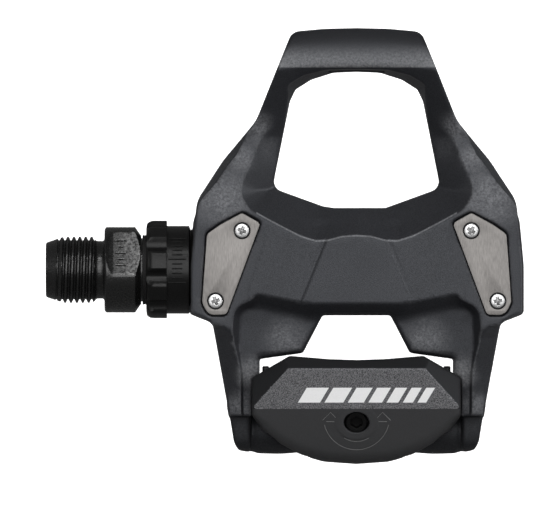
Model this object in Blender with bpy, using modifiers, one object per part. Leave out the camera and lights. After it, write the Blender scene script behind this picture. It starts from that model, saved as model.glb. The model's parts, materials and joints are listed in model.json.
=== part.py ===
"""Road clipless pedal for the right-hand crank, as separate parts.

Frame: +X runs along the spindle from the crank towards the outside of the pedal, +Y points to
the toe and +Z is the cleat side.  The origin is the centre of the spindle's crank-end face.
Lengths below are in millimetres and are scaled to metres where meshes are made.
"""
import math

import bmesh
import bpy
from mathutils import Matrix, Vector

MM = 0.001
GAP = 0.3                      # gap between neighbouring pieces
RUN = 0.1                      # radial running clearance
ARC_STEPS = 4                  # straight pieces in one rounded corner
ROUND = 36                     # sides of a turned piece

# Body
BODY_X = 66.8                  # symmetry plane of the body
PLATFORM_Z = 10.5              # top of the platform, above the spindle axis
SHELF_Z = 6.8                  # ledge behind the platform, under the cleat's tail
BODY_HALF = 35.6               # half width across the platform
ARM_INNER_HALF = 22.75         # inner faces of the rear arms
ARM_END_Y = -31.4              # where the top of the rear arms stops

# Spindle
THREAD_R = 7.14                # 9/16 inch thread
THREAD_END_X = 10.1
NECK_R = 6.2
COLLAR_X = (12.6, 20.5)
COLLAR_R = 9.22
FLATS_MM = 15.0                # across the wrench flats
FLATS_TURN = math.radians(28)  # the flats' normal, tilted from +Z towards +Y
SHAFT_R = 6.8                  # in the lock bolt
JOURNAL_R = 5.6                # in the plain bush
TAIL_R = 4.8
STUD_R = 2.7                   # threaded end that holds the cones
STUD_X = (76.2, 98.9)

# Lock bolt and bearings
LOCK_HEAD_X = (21.6, 26.05)
LOCK_HEAD_R = 10.6
LOCK_SLEEVE_R = 9.45
LOCK_THREAD_R = 9.1
LOCK_END_X = 38.0
LOCK_LOBES = 9
LOBE_PHASE = math.radians(29.5)
BODY_WALL_X = BODY_X - BODY_HALF
BORE_R = 8.3
BORE_END_X = 99.9
BUSH_X = (39.0, 55.0)
TUBE_X = (77.5, 92.5)
RACE_DEPTH = 4.1
RACE_R = 6.75
BALL_R = 1.19                  # 3/32 inch balls
BALL_RING_R = 5.25
BALL_COUNT = 12
BALL_ROWS_X = (80.1, 89.9)

# Rear binding
PIN_Y = -34.9
PIN_Z = -8.0
PIN_R = 2.5
PIN_HALF = 25.0
KNUCKLE_R = 5.0
KNUCKLE_HALF = (12.2, 26.3)
CLAW_HALF = 22.4
WEB_HALF = (3.4, 4.9)          # hinge webs of the claw, each side of the middle
BOLT_Y = -33.1                 # where the tension bolt meets the claw's surface
BOLT_Z = 5.4
BOLT_TILT = math.radians(20)   # bolt axis, tilted from +Z towards the heel
BOLT_R = 1.9
BOLT_HEAD_R = 2.3
WIRE_R = 0.9
COIL_R = 3.95
COIL_TURNS = 2.5
COIL_PITCH = 1.9
COIL_START = 11.0              # outer end of a coil, from the middle
LEG_LONG = 8.0
NUT_LEVELS = (0.55, 2.65)      # underside and top of the nut plate, from the pin's axis
NUT_FRONT = 8.3

# Wear plates
PLATE_THICK = 1.0
PLATE_CORNERS = ((24.6, 12.25, 1.0), (20.6, 10.0, 1.0), (27.9, -9.65, 1.2),
                 (31.9, -9.75, 2.4), (33.2, -7.0, 2.0), (32.15, 7.7, 1.5),
                 (29.3, 9.7, 2.5))
PLATE_SCREWS = ((24.6, 8.4), (30.3, -6.7))
SCREW_HEAD_R = 1.55
SCREW_SHANK_R = 0.9
SCREW_LONG = 2.9

# Outlines of the body's right half: half width, Y and corner radius
OUTER = ((0.0, 51.9, 0.0), (7.0, 51.75, 40.0), (13.9, 51.1, 2.6), (21.9, 32.2, 12.0),
         (34.0, 15.0, 9.0), (BODY_HALF, 1.0, 12.0), (BODY_HALF, -9.2, 1.2),
         (31.0, -11.0, 2.4), (27.35, -31.3, 0.3), (26.75, -31.8, 0.3), (25.7, -39.7, 3.4),
         (0.0, -40.1, 0.0))
TOE_HOLE = ((0.0, 41.9, 0.0), (7.5, 41.7, 12.0), (14.0, 38.3, 1.6), (18.05, 17.6, 2.2),
            (6.2, 13.3, 1.5), (0.0, 13.3, 0.0))
FUNNEL_MOUTH = ((0.0, 42.5, 0.0), (14.0, 41.5, 3.0), (19.3, 33.0, 3.0), (25.6, 16.0, 5.0),
                (17.4, 9.5, 8.0), (8.0, 6.2, 6.0), (0.0, 7.2, 0.0))
HEEL_NOTCH = ((0.0, -9.8, 0.0), (7.3, -9.8, 0.8), (11.5, -17.9, 0.9), (20.8, -19.2, 0.4),
              (20.8, -22.4, 0.5), (ARM_INNER_HALF, -23.4, 0.5), (ARM_INNER_HALF, -44.0, 0.0),
              (0.0, -44.0, 0.0))
SHELF_EDGE = ((0.0, -7.8, 0.0), (11.9, -6.6, 1.0), (21.6, -5.0, 1.5), (23.9, -24.0, 1.0),
              (0.0, -24.0, 0.0))
EAR_UNDERCUT = ((0.0, -12.0, 0.0), (20.0, -12.0, 2.0), (20.6, -26.0, 0.0), (0.0, -26.0, 0.0))

# Side outline of the body: Y, Z and corner radius
BODY_SIDE = ((51.95, 7.5, 2.0), (51.95, 12.0, 2.5), (43.7, 15.0, 0.8), (33.5, 8.2, 8.0),
             (14.0, PLATFORM_Z, 30.0), (-10.5, PLATFORM_Z, 6.0), (ARM_END_Y, 1.6, 0.0),
             (ARM_END_Y, -2.6, 0.0), (-36.6, -2.6, 3.0), (-40.0, -6.5, 3.0),
             (-40.0, -10.2, 2.6), (-36.0, -13.0, 3.0), (-27.0, -12.6, 4.0),
             (-15.0, -5.0, 6.0), (14.0, -4.5, 6.0), (30.0, 0.2, 10.0), (44.0, 4.0, 10.0))
TOE_POCKET_SIDE = ((38.0, 9.6, 0.0), (46.2, 9.6, 0.8), (46.8, 12.5, 0.8), (38.0, 12.5, 0.0))
TOE_POCKET_HALF = 13.6
HOUSING_SIDE = ((11.3, 4.0, 2.0), (11.3, -7.6, 4.5), (6.6, -11.5, 2.0), (-6.6, -11.5, 2.0),
                (-11.3, -7.6, 4.5), (-11.3, 4.0, 2.0))

# Claw: outline from above (half width, Y, radius) and from the side (Y, Z, radius)
CLAW_TOP = ((0.0, -19.4, 0.0), (14.5, -18.5, 0.8), (CLAW_HALF, -23.1, 0.5),
            (CLAW_HALF, -31.2, 1.0), (12.0, -39.3, 12.0), (0.0, -41.9, 8.0))
CLAW_SIDE = ((-18.0, 10.3, 0.3), (-21.2, 12.4, 0.3), (-29.8, 7.8, 0.4), (-36.8, 2.4, 3.0),
             (-41.9, -3.6, 4.0), (-41.9, -9.4, 0.5), (-40.6, -9.4, 0.3), (-40.3, -5.8, 1.0),
             (-36.0, -1.8, 2.0), (-30.0, -2.6, 1.0), (-27.5, -4.4, 1.0), (-24.2, -4.2, 1.0),
             (-23.0, 8.6, 0.6), (-18.7, 9.4, 0.3))
CLAW_CAVITY = ((-26.0, 5.4, 0.8), (-30.2, 4.6, 0.8), (-36.0, 0.4, 2.0), (-40.2, -5.0, 1.5),
               (-40.2, -14.0, 0.0), (-27.0, -14.0, 0.0))
CLAW_WALL = 2.6
CLAW_WEB = ((-39.4, -12.5, 4.4), (-30.4, -12.5, 4.4), (-30.5, -6.2, 1.0), (-31.9, -3.4, 1.0),
            (-31.9, 6.0, 0.0), (-36.6, 1.6, 0.0))


# ---------------------------------------------------------------- scene helpers
def clear_scene():
    for item in list(bpy.data.objects):
        bpy.data.objects.remove(item, do_unlink=True)
    for group in list(bpy.data.collections):
        bpy.data.collections.remove(group)


def new_collection(name):
    group = bpy.data.collections.new(name)
    bpy.context.scene.collection.children.link(group)
    return group


def make_material(name, colour, roughness, metallic):
    material = bpy.data.materials.new(name)
    material.use_nodes = True
    shader = material.node_tree.nodes["Principled BSDF"]
    shader.inputs["Base Color"].default_value = (*colour, 1.0)
    shader.inputs["Roughness"].default_value = roughness
    shader.inputs["Metallic"].default_value = metallic
    return material


def to_mesh(item):
    """Replace an object by its evaluated, welded mesh, and hide it among the cutters."""
    bpy.context.view_layer.update()
    graph = bpy.context.evaluated_depsgraph_get()
    mesh = bpy.data.meshes.new_from_object(item.evaluated_get(graph))
    work = bmesh.new()
    work.from_mesh(mesh)
    bmesh.ops.remove_doubles(work, verts=work.verts, dist=0.002 * MM)
    bmesh.ops.recalc_face_normals(work, faces=work.faces)
    work.to_mesh(mesh)
    work.free()
    solid = bpy.data.objects.new(item.name, mesh)
    solid.matrix_world = item.matrix_world
    bpy.data.objects.remove(item, do_unlink=True)
    solid.hide_render = True
    solid.display_type = "WIRE"
    cutters.objects.link(solid)
    return solid


def as_part(item, name, material, origin=None):
    """Move a solid out of the cutters and make it a named part of the pedal."""
    cutters.objects.unlink(item)
    pedal.objects.link(item)
    item.name = name
    item.hide_render = False
    item.display_type = "TEXTURED"
    item.data.materials.clear()
    item.data.materials.append(material)
    if origin is not None:
        move_origin(item, origin)
    item.data.shade_smooth()
    item.data.set_sharp_from_angle(angle=math.radians(30))
    return item


def move_origin(item, origin):
    """Put the object's origin on a point in millimetres, without moving its mesh."""
    target = Matrix.Translation(Vector(origin) * MM)
    item.data.transform(target.inverted() @ item.matrix_world)
    item.matrix_world = target


def combine(item, other, operation):
    step = item.modifiers.new(operation.lower(), "BOOLEAN")
    step.operation = operation
    step.solver = "EXACT"
    step.object = other


def cut(item, *others):
    for other in others:
        combine(item, other, "DIFFERENCE")


def join(item, *others):
    for other in others:
        combine(item, other, "UNION")


# ---------------------------------------------------------------- shape helpers
def rounded(corners, steps=ARC_STEPS):
    """Points of a closed outline whose corners (a, b, radius) are rounded."""
    points = []
    for i, (a, b, radius) in enumerate(corners):
        corner = Vector((a, b))
        before = Vector(corners[i - 1][:2]) - corner
        after = Vector(corners[(i + 1) % len(corners)][:2]) - corner
        if radius == 0:
            points.append(corner)
            continue
        half = before.angle(after) / 2
        reach = radius / math.tan(half)
        room = 0.49 * min(before.length, after.length)
        if reach > room:
            radius *= room / reach
        before.normalize()
        after.normalize()
        centre = corner + (before + after).normalized() * (radius / math.sin(half))
        start = corner + before * (radius / math.tan(half)) - centre
        end = corner + after * (radius / math.tan(half)) - centre
        for k in range(steps + 1):
            points.append(centre + start.slerp(end, k / steps) * radius)
    return points


def mirrored(half):
    """A whole outline from its right half, listed from the middle round to the middle."""
    left = [(-a, b, radius) for a, b, radius in reversed(half) if a > 0]
    return rounded(list(half) + left)


def prism(name, outline, low, high, along="Z", offset=(0, 0, 0)):
    """A straight solid with the given outline, from low to high along Z or along X."""
    curve = bpy.data.curves.new(name, "CURVE")
    curve.dimensions = "2D"
    curve.fill_mode = "BOTH"
    curve.extrude = (high - low) / 2 * MM
    spline = curve.splines.new("POLY")
    spline.points.add(len(outline) - 1)
    for point, place in zip(spline.points, outline):
        point.co = (place[0] * MM, place[1] * MM, 0, 1)
    spline.use_cyclic_u = True
    item = bpy.data.objects.new(name, curve)
    cutters.objects.link(item)
    middle = (high + low) / 2
    if along == "Z":
        turn = Matrix.Identity(4)
        shift = Vector((offset[0], offset[1], middle))
    else:
        turn = Matrix(((0, 0, 1, 0), (1, 0, 0, 0), (0, 1, 0, 0), (0, 0, 0, 1)))
        shift = Vector((middle, offset[1], offset[2]))
    item.matrix_world = Matrix.Translation(shift * MM) @ turn
    return to_mesh(item)


def turned(name, profile, closed=False, sides=ROUND, turn=None):
    """A piece turned about +X: profile gives (x, radius) along its outer side."""
    mesh = bpy.data.meshes.new(name)
    points = [(radius * MM, 0, x * MM) for x, radius in reversed(profile)]
    edges = [(i, i + 1) for i in range(len(points) - 1)]
    if closed:
        edges.append((len(points) - 1, 0))
    mesh.from_pydata(points, edges, [])
    item = bpy.data.objects.new(name, mesh)
    cutters.objects.link(item)
    screw = item.modifiers.new("turn", "SCREW")
    screw.axis = "Z"
    screw.steps = sides
    screw.render_steps = sides
    screw.use_merge_vertices = True
    screw.merge_threshold = 0.00001
    item.matrix_world = (turn or Matrix.Identity(4)) @ Matrix.Rotation(math.pi / 2, 4, "Y")
    return to_mesh(item)


def rod(name, low, high, radius, y=0.0, z=0.0, sides=ROUND):
    """A plain cylinder along X at the given Y and Z."""
    place = Matrix.Translation(Vector((0, y, z)) * MM)
    return turned(name, ((low, 0), (low, radius), (high, radius), (high, 0)), sides=sides,
                  turn=place)


def block(name, size, matrix):
    """A box of the given size in millimetres, centred on a matrix."""
    mesh = bpy.data.meshes.new(name)
    work = bmesh.new()
    bmesh.ops.create_cube(work, size=1.0)
    bmesh.ops.scale(work, vec=Vector(size) * MM, verts=work.verts)
    work.to_mesh(mesh)
    work.free()
    item = bpy.data.objects.new(name, mesh)
    cutters.objects.link(item)
    item.matrix_world = matrix
    return to_mesh(item)


def loft(name, lower, upper, low, high, offset_x):
    """A closed solid between two outlines with the same number of points."""
    mesh = bpy.data.meshes.new(name)
    work = bmesh.new()
    rings = []
    for outline, level in ((lower, low), (upper, high)):
        ring = [work.verts.new(Vector((offset_x + a, b, level)) * MM) for a, b in outline]
        rings.append(ring)
    for i in range(len(lower)):
        j = (i + 1) % len(lower)
        work.faces.new((rings[0][i], rings[0][j], rings[1][j], rings[1][i]))
    work.faces.new(rings[0])
    work.faces.new(rings[1])
    work.to_mesh(mesh)
    work.free()
    item = bpy.data.objects.new(name, mesh)
    cutters.objects.link(item)
    return to_mesh(item)


def resampled(outline, count):
    """The outline as a number of points evenly spaced along it."""
    ends = outline[1:] + outline[:1]
    lengths = [(b - a).length for a, b in zip(outline, ends)]
    spacing = sum(lengths) / count
    points = []
    index = 0
    walked = 0.0
    for k in range(count):
        target = k * spacing
        while walked + lengths[index] < target:
            walked += lengths[index]
            index += 1
        share = (target - walked) / lengths[index]
        points.append(outline[index].lerp(ends[index], share))
    return points


def pin_frame(x=BODY_X):
    """Axes at the hinge pin: X along it, Y along the nut plate, Z along the tension bolt."""
    tilt = Matrix.Rotation(BOLT_TILT, 4, "X")
    return Matrix.Translation(Vector((x, PIN_Y, PIN_Z)) * MM) @ tilt


def bolt_reach():
    """The bolt axis's distance from the pin, and its height at the claw's surface."""
    dy = BOLT_Y - PIN_Y
    dz = BOLT_Z - PIN_Z
    across = dy * math.cos(BOLT_TILT) + dz * math.sin(BOLT_TILT)
    along = dz * math.cos(BOLT_TILT) - dy * math.sin(BOLT_TILT)
    return across, along


def bolt_turned(name, profile, sides=24):
    """A piece turned about the tension bolt: (height from the pin's level, radius)."""
    across, _ = bolt_reach()
    stand = Matrix.Rotation(-math.pi / 2, 4, "Y")
    place = pin_frame() @ Matrix.Translation(Vector((0, across, 0)) * MM)
    return turned(name, profile, sides=sides, turn=place @ stand)


# ---------------------------------------------------------------- spindle group
def make_spindle():
    flat_r = COLLAR_R - 0.3
    profile = ((0, 0), (0, 6.0), (1.9, THREAD_R), (THREAD_END_X, THREAD_R),
               (THREAD_END_X + 0.6, NECK_R), (COLLAR_X[0], NECK_R), (COLLAR_X[0], flat_r),
               (COLLAR_X[0] + 0.4, COLLAR_R), (COLLAR_X[1] - 1.1, COLLAR_R),
               (COLLAR_X[1], 7.4), (COLLAR_X[1], SHAFT_R), (38.0, SHAFT_R),
               (38.5, JOURNAL_R), (57.0, JOURNAL_R), (58.5, TAIL_R), (STUD_X[0], TAIL_R),
               (STUD_X[0], STUD_R), (STUD_X[1] - 0.4, STUD_R), (STUD_X[1], STUD_R - 0.4),
               (STUD_X[1], 0))
    spindle = turned("spindle_blank", profile)
    for side in (0, math.pi):
        place = (Matrix.Rotation(side - FLATS_TURN, 4, "X")
                 @ Matrix.Translation(Vector((17.6, 0, FLATS_MM / 2 + 3)) * MM))
        cut(spindle, block("flat", (7.0, 30, 6), place))
    return as_part(spindle, "spindle", black_steel, origin=(0, 0, 0))


def ring(name, profile, material, sides=ROUND):
    """A turned ring, given by its closed section."""
    return as_part(turned(name, profile, closed=True, sides=sides), name, material)


def make_cones():
    wide = 4.7
    nose = 3.5
    bore = STUD_R + GAP
    left = BALL_ROWS_X[0]
    right = BALL_ROWS_X[1]
    ring("inner_cone", ((left - 3.6, wide), (left - 3.3, wide), (left + 1.2, nose),
                        (left + 1.2, bore), (left - 3.6, bore)), bright_steel)
    ring("adjusting_cone", ((right - 1.2, nose), (right + 3.3, wide), (right + 4.5, wide),
                            (right + 4.5, bore), (right - 1.2, bore)), bright_steel)
    ring("lock_washer", ((94.7, 4.3), (95.3, 4.3), (95.3, bore), (94.7, bore)), bright_steel)
    hex_bore = bore / math.cos(math.pi / 6)
    ring("lock_nut", ((95.6, 5.1), (98.2, 5.1), (98.2, hex_bore), (95.6, hex_bore)),
         bright_steel, sides=6)


def make_balls():
    for row, row_x in zip(("inner", "outer"), BALL_ROWS_X):
        for k in range(BALL_COUNT):
            angle = 2 * math.pi * k / BALL_COUNT
            name = f"{row}_ball_{k + 1:02d}"
            mesh = bpy.data.meshes.new(name)
            work = bmesh.new()
            bmesh.ops.create_icosphere(work, subdivisions=2, radius=BALL_R * MM)
            work.to_mesh(mesh)
            work.free()
            ball = bpy.data.objects.new(name, mesh)
            ball.location = Vector((row_x, BALL_RING_R * math.cos(angle),
                                    BALL_RING_R * math.sin(angle))) * MM
            mesh.materials.append(bright_steel)
            mesh.shade_smooth()
            pedal.objects.link(ball)


# ---------------------------------------------------------------- pieces in the body's bore
def make_lock_bolt():
    low, high = LOCK_HEAD_X
    bore = SHAFT_R + GAP
    seal_seat = 8.6
    profile = ((low, 9.2), (low + 0.5, 10.1), (low + 1.4, LOCK_HEAD_R), (high, LOCK_HEAD_R),
               (high, LOCK_SLEEVE_R), (BODY_WALL_X - GAP, LOCK_SLEEVE_R),
               (BODY_WALL_X - GAP, LOCK_THREAD_R), (LOCK_END_X, LOCK_THREAD_R),
               (LOCK_END_X, bore), (24.5, bore), (24.5, seal_seat), (low, seal_seat))
    bolt = turned("lock_blank", profile, closed=True, sides=54)
    pitch = 2 * math.pi / LOCK_LOBES
    for k in range(LOCK_LOBES):
        angle = LOBE_PHASE + (k + 0.5) * pitch
        depth = 3.0
        place = (Matrix.Rotation(-angle, 4, "X") @ Matrix.Translation(
            Vector(((low + high) / 2 - 0.5, 0, LOCK_SLEEVE_R + depth / 2)) * MM))
        cut(bolt, block("lobe_gap", (high - low + 1.0, 3.4, depth), place))
    return as_part(bolt, "lock_bolt", black_plastic, origin=(low, 0, 0))


def make_bore_pieces():
    ring("lip_seal", ((20.8, 7.5), (21.75, 7.5), (21.75, 8.3), (24.2, 8.3),
                      (24.2, SHAFT_R + RUN), (20.8, SHAFT_R + RUN)), rubber)
    outer = BORE_R - GAP
    ring("plain_bush", ((BUSH_X[0], outer), (BUSH_X[1], outer), (BUSH_X[1], JOURNAL_R + RUN),
                        (BUSH_X[0], JOURNAL_R + RUN)), bush_plastic)
    low, high = TUBE_X
    waist = 4.6
    ring("bearing_tube", ((low, outer), (high, outer), (high, RACE_R),
                          (high - RACE_DEPTH, RACE_R), (high - RACE_DEPTH, waist),
                          (low + RACE_DEPTH, waist), (low + RACE_DEPTH, RACE_R),
                          (low, RACE_R)), bright_steel)


# ---------------------------------------------------------------- body
def plate_outline(side, grow):
    """A wear plate's outline on one side of the body, grown outwards by a gap."""
    middle = Vector((27.0, 1.0))
    corners = []
    for a, b, radius in PLATE_CORNERS:
        away = Vector((a, b)) - middle
        place = middle + away * (1 + grow / away.length)
        corners.append((side * place.x, place.y, radius))
    return rounded(corners)


def body_cutters():
    """Everything that is cut out of the body before the knuckles are added."""
    mouth = resampled(mirrored(FUNNEL_MOUTH), 64)
    inner = [(a * 0.95, 28 + (b - 28) * 0.95, radius) for a, b, radius in TOE_HOLE]
    throat = resampled(mirrored(inner), 64)
    low = 2.0
    yield prism("toe_hole", mirrored(TOE_HOLE), -20, 20, offset=(BODY_X, 0, 0))
    yield loft("funnel", throat, [2 * a - b for a, b in zip(mouth, throat)], low,
               2 * PLATFORM_Z - low, BODY_X)
    yield prism("heel_notch", mirrored(HEEL_NOTCH), -20, 20, offset=(BODY_X, 0, 0))
    yield prism("shelf", mirrored(SHELF_EDGE), SHELF_Z, 20, offset=(BODY_X, 0, 0))
    yield prism("ear_undercut", mirrored(EAR_UNDERCUT), -20, 0.8, offset=(BODY_X, 0, 0))
    yield prism("toe_pocket", rounded(TOE_POCKET_SIDE), BODY_X - TOE_POCKET_HALF,
                BODY_X + TOE_POCKET_HALF, "X")


def make_knuckle(side):
    """The round end of a rear arm, which carries the hinge pin."""
    low, high = KNUCKLE_HALF
    profile = ((low, 0), (low, KNUCKLE_R), (22.0, KNUCKLE_R), (24.4, 4.2), (25.7, 2.8),
               (high, 1.0), (high, 0))
    if side < 0:
        profile = [(BODY_X - x, radius) for x, radius in reversed(profile)]
    else:
        profile = [(BODY_X + x, radius) for x, radius in profile]
    place = Matrix.Translation(Vector((0, PIN_Y, PIN_Z)) * MM)
    return turned("knuckle", profile, turn=place)


def tang_slot(side):
    """The slot in a knuckle's inner end that holds a spring's fixed tang."""
    deep = 3.8
    tall = 5.0
    shift = Vector((0, 0, -tall / 2 - 2.0)) * MM
    place = pin_frame(BODY_X + side * (KNUCKLE_HALF[0] + 0.9)) @ Matrix.Translation(shift)
    return block("tang_slot", (deep, 2 * (WIRE_R + GAP), tall), place)


def make_body():
    low = BODY_X - BODY_HALF - 5
    high = BODY_X + BODY_HALF + 5
    body = prism("body_blank", mirrored(OUTER), -18, 18, offset=(BODY_X, 0, 0))
    combine(body, prism("side_form", rounded(BODY_SIDE), low, high, "X"), "INTERSECT")
    join(body, prism("housing", rounded(HOUSING_SIDE), low + 5.15, high - 5.15, "X"))
    cut(body, *body_cutters())
    for side in (-1, 1):
        join(body, make_knuckle(side))
    for side in (-1, 1):
        floor = PLATFORM_Z + 0.1 - PLATE_THICK - GAP
        cut(body, prism("plate_seat", plate_outline(side, GAP), floor, 14,
                        offset=(BODY_X, 0, 0)))
        for a, b in PLATE_SCREWS:
            cut(body, screw_rod(side, a, b, -SCREW_LONG - 0.4, 2.0, SCREW_SHANK_R + GAP))
        cut(body, tang_slot(side))
    cut(body, turned("bore", ((28.0, 0), (28.0, LOCK_THREAD_R + GAP),
                              (LOCK_END_X + GAP, LOCK_THREAD_R + GAP),
                              (LOCK_END_X + GAP, BORE_R), (BORE_END_X, BORE_R),
                              (BORE_END_X + 1.0, 3.0), (BORE_END_X + 1.0, 0))))
    cut(body, rod("pin_hole", low, high, PIN_R + GAP, PIN_Y, PIN_Z, sides=24))
    return as_part(body, "body_frame", grey_resin)


# ---------------------------------------------------------------- wear plates
def screw_rod(side, a, b, low, high, radius, head=None):
    """A vertical rod at a plate screw, from low to high above the platform."""
    profile = [(low, 0), (low, radius), (high, radius), (high, 0)]
    if head:
        profile = [(low, 0), (low, radius), (head[0], radius), (head[1], head[2]),
                   (high, head[2]), (high, 0)]
    stand = (Matrix.Translation(Vector((BODY_X + side * a, b, PLATFORM_Z)) * MM)
             @ Matrix.Rotation(-math.pi / 2, 4, "Y"))
    return turned("screw_rod", profile, sides=24, turn=stand)


def make_plate(side, name):
    top = PLATFORM_Z + 0.1
    plate = prism(name, plate_outline(side, 0), top - PLATE_THICK, top, offset=(BODY_X, 0, 0))
    for a, b in PLATE_SCREWS:
        cut(plate, screw_rod(side, a, b, -4, 4, SCREW_HEAD_R + GAP))
    as_part(plate, name, brushed_steel)


def make_plate_screws():
    number = 1
    for side in (-1, 1):
        for a, b in PLATE_SCREWS:
            screw = screw_rod(side, a, b, -SCREW_LONG, 0.15, SCREW_SHANK_R,
                              head=(-0.6, -0.35, SCREW_HEAD_R))
            socket_top = PLATFORM_Z + 0.6
            for turn in (0.0, math.pi / 2):
                place = (Matrix.Translation(Vector((BODY_X + side * a, b, socket_top)) * MM)
                         @ Matrix.Rotation(turn + 0.5, 4, "Z"))
                cut(screw, block("recess", (1.7, 0.5, 1.6), place))
            as_part(screw, f"plate_screw_{number}", screw_steel)
            number += 1


# ---------------------------------------------------------------- rear binding
def make_pin():
    pin = rod("pin", BODY_X - PIN_HALF, BODY_X + PIN_HALF, PIN_R, PIN_Y, PIN_Z, sides=24)
    return as_part(pin, "binding_pin", bright_steel)


def coil_points(side):
    """A spring's centre line: tang in the knuckle, coil on the pin, leg over the nut plate."""
    points = [(COIL_START + 2.6, 0, -COIL_R), (COIL_START + 1.0, 0, -COIL_R),
              (COIL_START + 0.35, -0.2, -COIL_R)]
    per_turn = 18
    for k in range(1, int(COIL_TURNS * per_turn) + 1):
        angle = -math.pi / 2 - 2 * math.pi * k / per_turn
        points.append((COIL_START - k / per_turn * COIL_PITCH, COIL_R * math.cos(angle),
                       COIL_R * math.sin(angle)))
    points.append((points[-1][0], LEG_LONG, COIL_R))
    return [Vector((side * x, y, z)) * MM for x, y, z in points]


def make_spring(side, name):
    curve = bpy.data.curves.new(name, "CURVE")
    curve.dimensions = "3D"
    curve.bevel_depth = WIRE_R * MM
    curve.bevel_resolution = 2
    curve.use_fill_caps = True
    points = coil_points(side)
    spline = curve.splines.new("POLY")
    spline.points.add(len(points) - 1)
    for point, place in zip(spline.points, points):
        point.co = (*place, 1)
    item = bpy.data.objects.new(name, curve)
    cutters.objects.link(item)
    item.matrix_world = pin_frame()
    return as_part(to_mesh(item), name, spring_steel, origin=(BODY_X, PIN_Y, PIN_Z))


def make_claw():
    low = BODY_X - CLAW_HALF
    high = BODY_X + CLAW_HALF
    _, surface = bolt_reach()
    claw = prism("claw_blank", mirrored(CLAW_TOP), -16, 16, offset=(BODY_X, 0, 0))
    combine(claw, prism("claw_form", rounded(CLAW_SIDE), low - 3, high + 3, "X"), "INTERSECT")
    cut(claw, prism("claw_cavity", rounded(CLAW_CAVITY), low + CLAW_WALL, high - CLAW_WALL, "X"))
    for side in (-1, 1):
        near = BODY_X + side * (KNUCKLE_HALF[0] - 0.5)
        far = BODY_X + side * (CLAW_HALF + 3)
        cut(claw, rod("knuckle_room", min(near, far), max(near, far), KNUCKLE_R + 0.45,
                      PIN_Y, PIN_Z))
        edges = sorted(BODY_X + side * half for half in WEB_HALF)
        join(claw, prism("web", rounded(CLAW_WEB), edges[0], edges[1], "X"))
    join(claw, bolt_turned("boss", ((surface - 6.4, 0), (surface - 6.4, 4.3),
                                    (surface - 2.0, 4.3), (surface - 2.0, 0))))
    cut(claw, bolt_turned("bolt_room", ((surface - 9.0, 0), (surface - 9.0, BOLT_R + GAP),
                                        (surface - 3.5, BOLT_R + GAP),
                                        (surface - 3.5, BOLT_HEAD_R + 0.4),
                                        (surface + 5.0, BOLT_HEAD_R + 0.4), (surface + 5.0, 0))))
    cut(claw, rod("pin_room", low, high, PIN_R + RUN, PIN_Y, PIN_Z, sides=24))
    return as_part(claw, "binding_claw", black_resin, origin=(BODY_X, PIN_Y, PIN_Z))


def make_tension_bolt():
    across, surface = bolt_reach()
    top = surface - 0.8
    seat = surface - 3.2
    bolt = bolt_turned("bolt_blank", ((-3.3, 0), (-3.3, BOLT_R - 0.3), (-3.0, BOLT_R),
                                      (seat, BOLT_R), (seat, BOLT_HEAD_R), (top, BOLT_HEAD_R),
                                      (top, 0)))
    socket = Matrix.Rotation(-math.pi / 2, 4, "Y")
    place = pin_frame() @ Matrix.Translation(Vector((0, across, 0)) * MM) @ socket
    cut(bolt, turned("socket", ((top - 1.6, 0), (top - 1.6, 1.44), (top + 1, 1.44), (top + 1, 0)),
                     sides=6, turn=place))
    tilt = Matrix.Rotation(BOLT_TILT, 3, "X")
    foot = Vector((BODY_X, PIN_Y, PIN_Z)) + tilt @ Vector((0, across, 0))
    return as_part(bolt, "tension_bolt", black_steel, origin=foot)


def make_nut_plate():
    """The plate that the tension bolt draws up against the springs' legs."""
    across, _ = bolt_reach()
    middle = 3.0
    bar_half = 9.2
    bar_back = 5.7
    outline = ((0, NUT_FRONT + 0.2, 0), (bar_half, NUT_FRONT, 0.6), (bar_half, bar_back + 0.3, 0.6),
               (middle, bar_back, 0.3), (middle - 0.2, 3.4, 0.6), (0, 3.3, 0))
    plate = prism("nut_plate_blank", mirrored(outline), NUT_LEVELS[0], NUT_LEVELS[1])
    plate.matrix_world = pin_frame() @ plate.matrix_world
    cut(plate, bolt_turned("thread", ((-6, 0), (-6, BOLT_R + GAP), (6, BOLT_R + GAP), (6, 0))))
    tilt = Matrix.Rotation(BOLT_TILT, 3, "X")
    foot = Vector((BODY_X, PIN_Y, PIN_Z)) + tilt @ Vector((0, across, 0))
    return as_part(plate, "nut_plate", bright_steel, origin=foot)


clear_scene()
pedal = new_collection("clipless_pedal")
cutters = new_collection("cutters")
grey_resin = make_material("grey_resin", (0.060, 0.061, 0.066), 0.55, 0.0)
black_plastic = make_material("black_plastic", (0.012, 0.012, 0.013), 0.4, 0.0)
black_steel = make_material("black_steel", (0.02, 0.02, 0.021), 0.3, 0.8)
bright_steel = make_material("bright_steel", (0.55, 0.55, 0.56), 0.25, 1.0)
screw_steel = make_material("screw_steel", (0.72, 0.72, 0.72), 0.25, 1.0)
brushed_steel = make_material("brushed_steel", (0.36, 0.35, 0.34), 0.35, 1.0)
rubber = make_material("rubber", (0.01, 0.01, 0.01), 0.7, 0.0)
bush_plastic = make_material("bush_plastic", (0.4, 0.38, 0.32), 0.5, 0.0)
black_resin = make_material("black_resin", (0.035, 0.035, 0.037), 0.5, 0.0)
spring_steel = make_material("spring_steel", (0.3, 0.3, 0.31), 0.35, 1.0)

make_spindle()
make_cones()
make_balls()
make_lock_bolt()
make_bore_pieces()
make_body()
make_plate(-1, "crank_side_plate")
make_plate(1, "outer_side_plate")
make_plate_screws()
make_pin()
make_spring(-1, "left_torsion_spring")
make_spring(1, "right_torsion_spring")
make_claw()
make_tension_bolt()
make_nut_plate()
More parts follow.
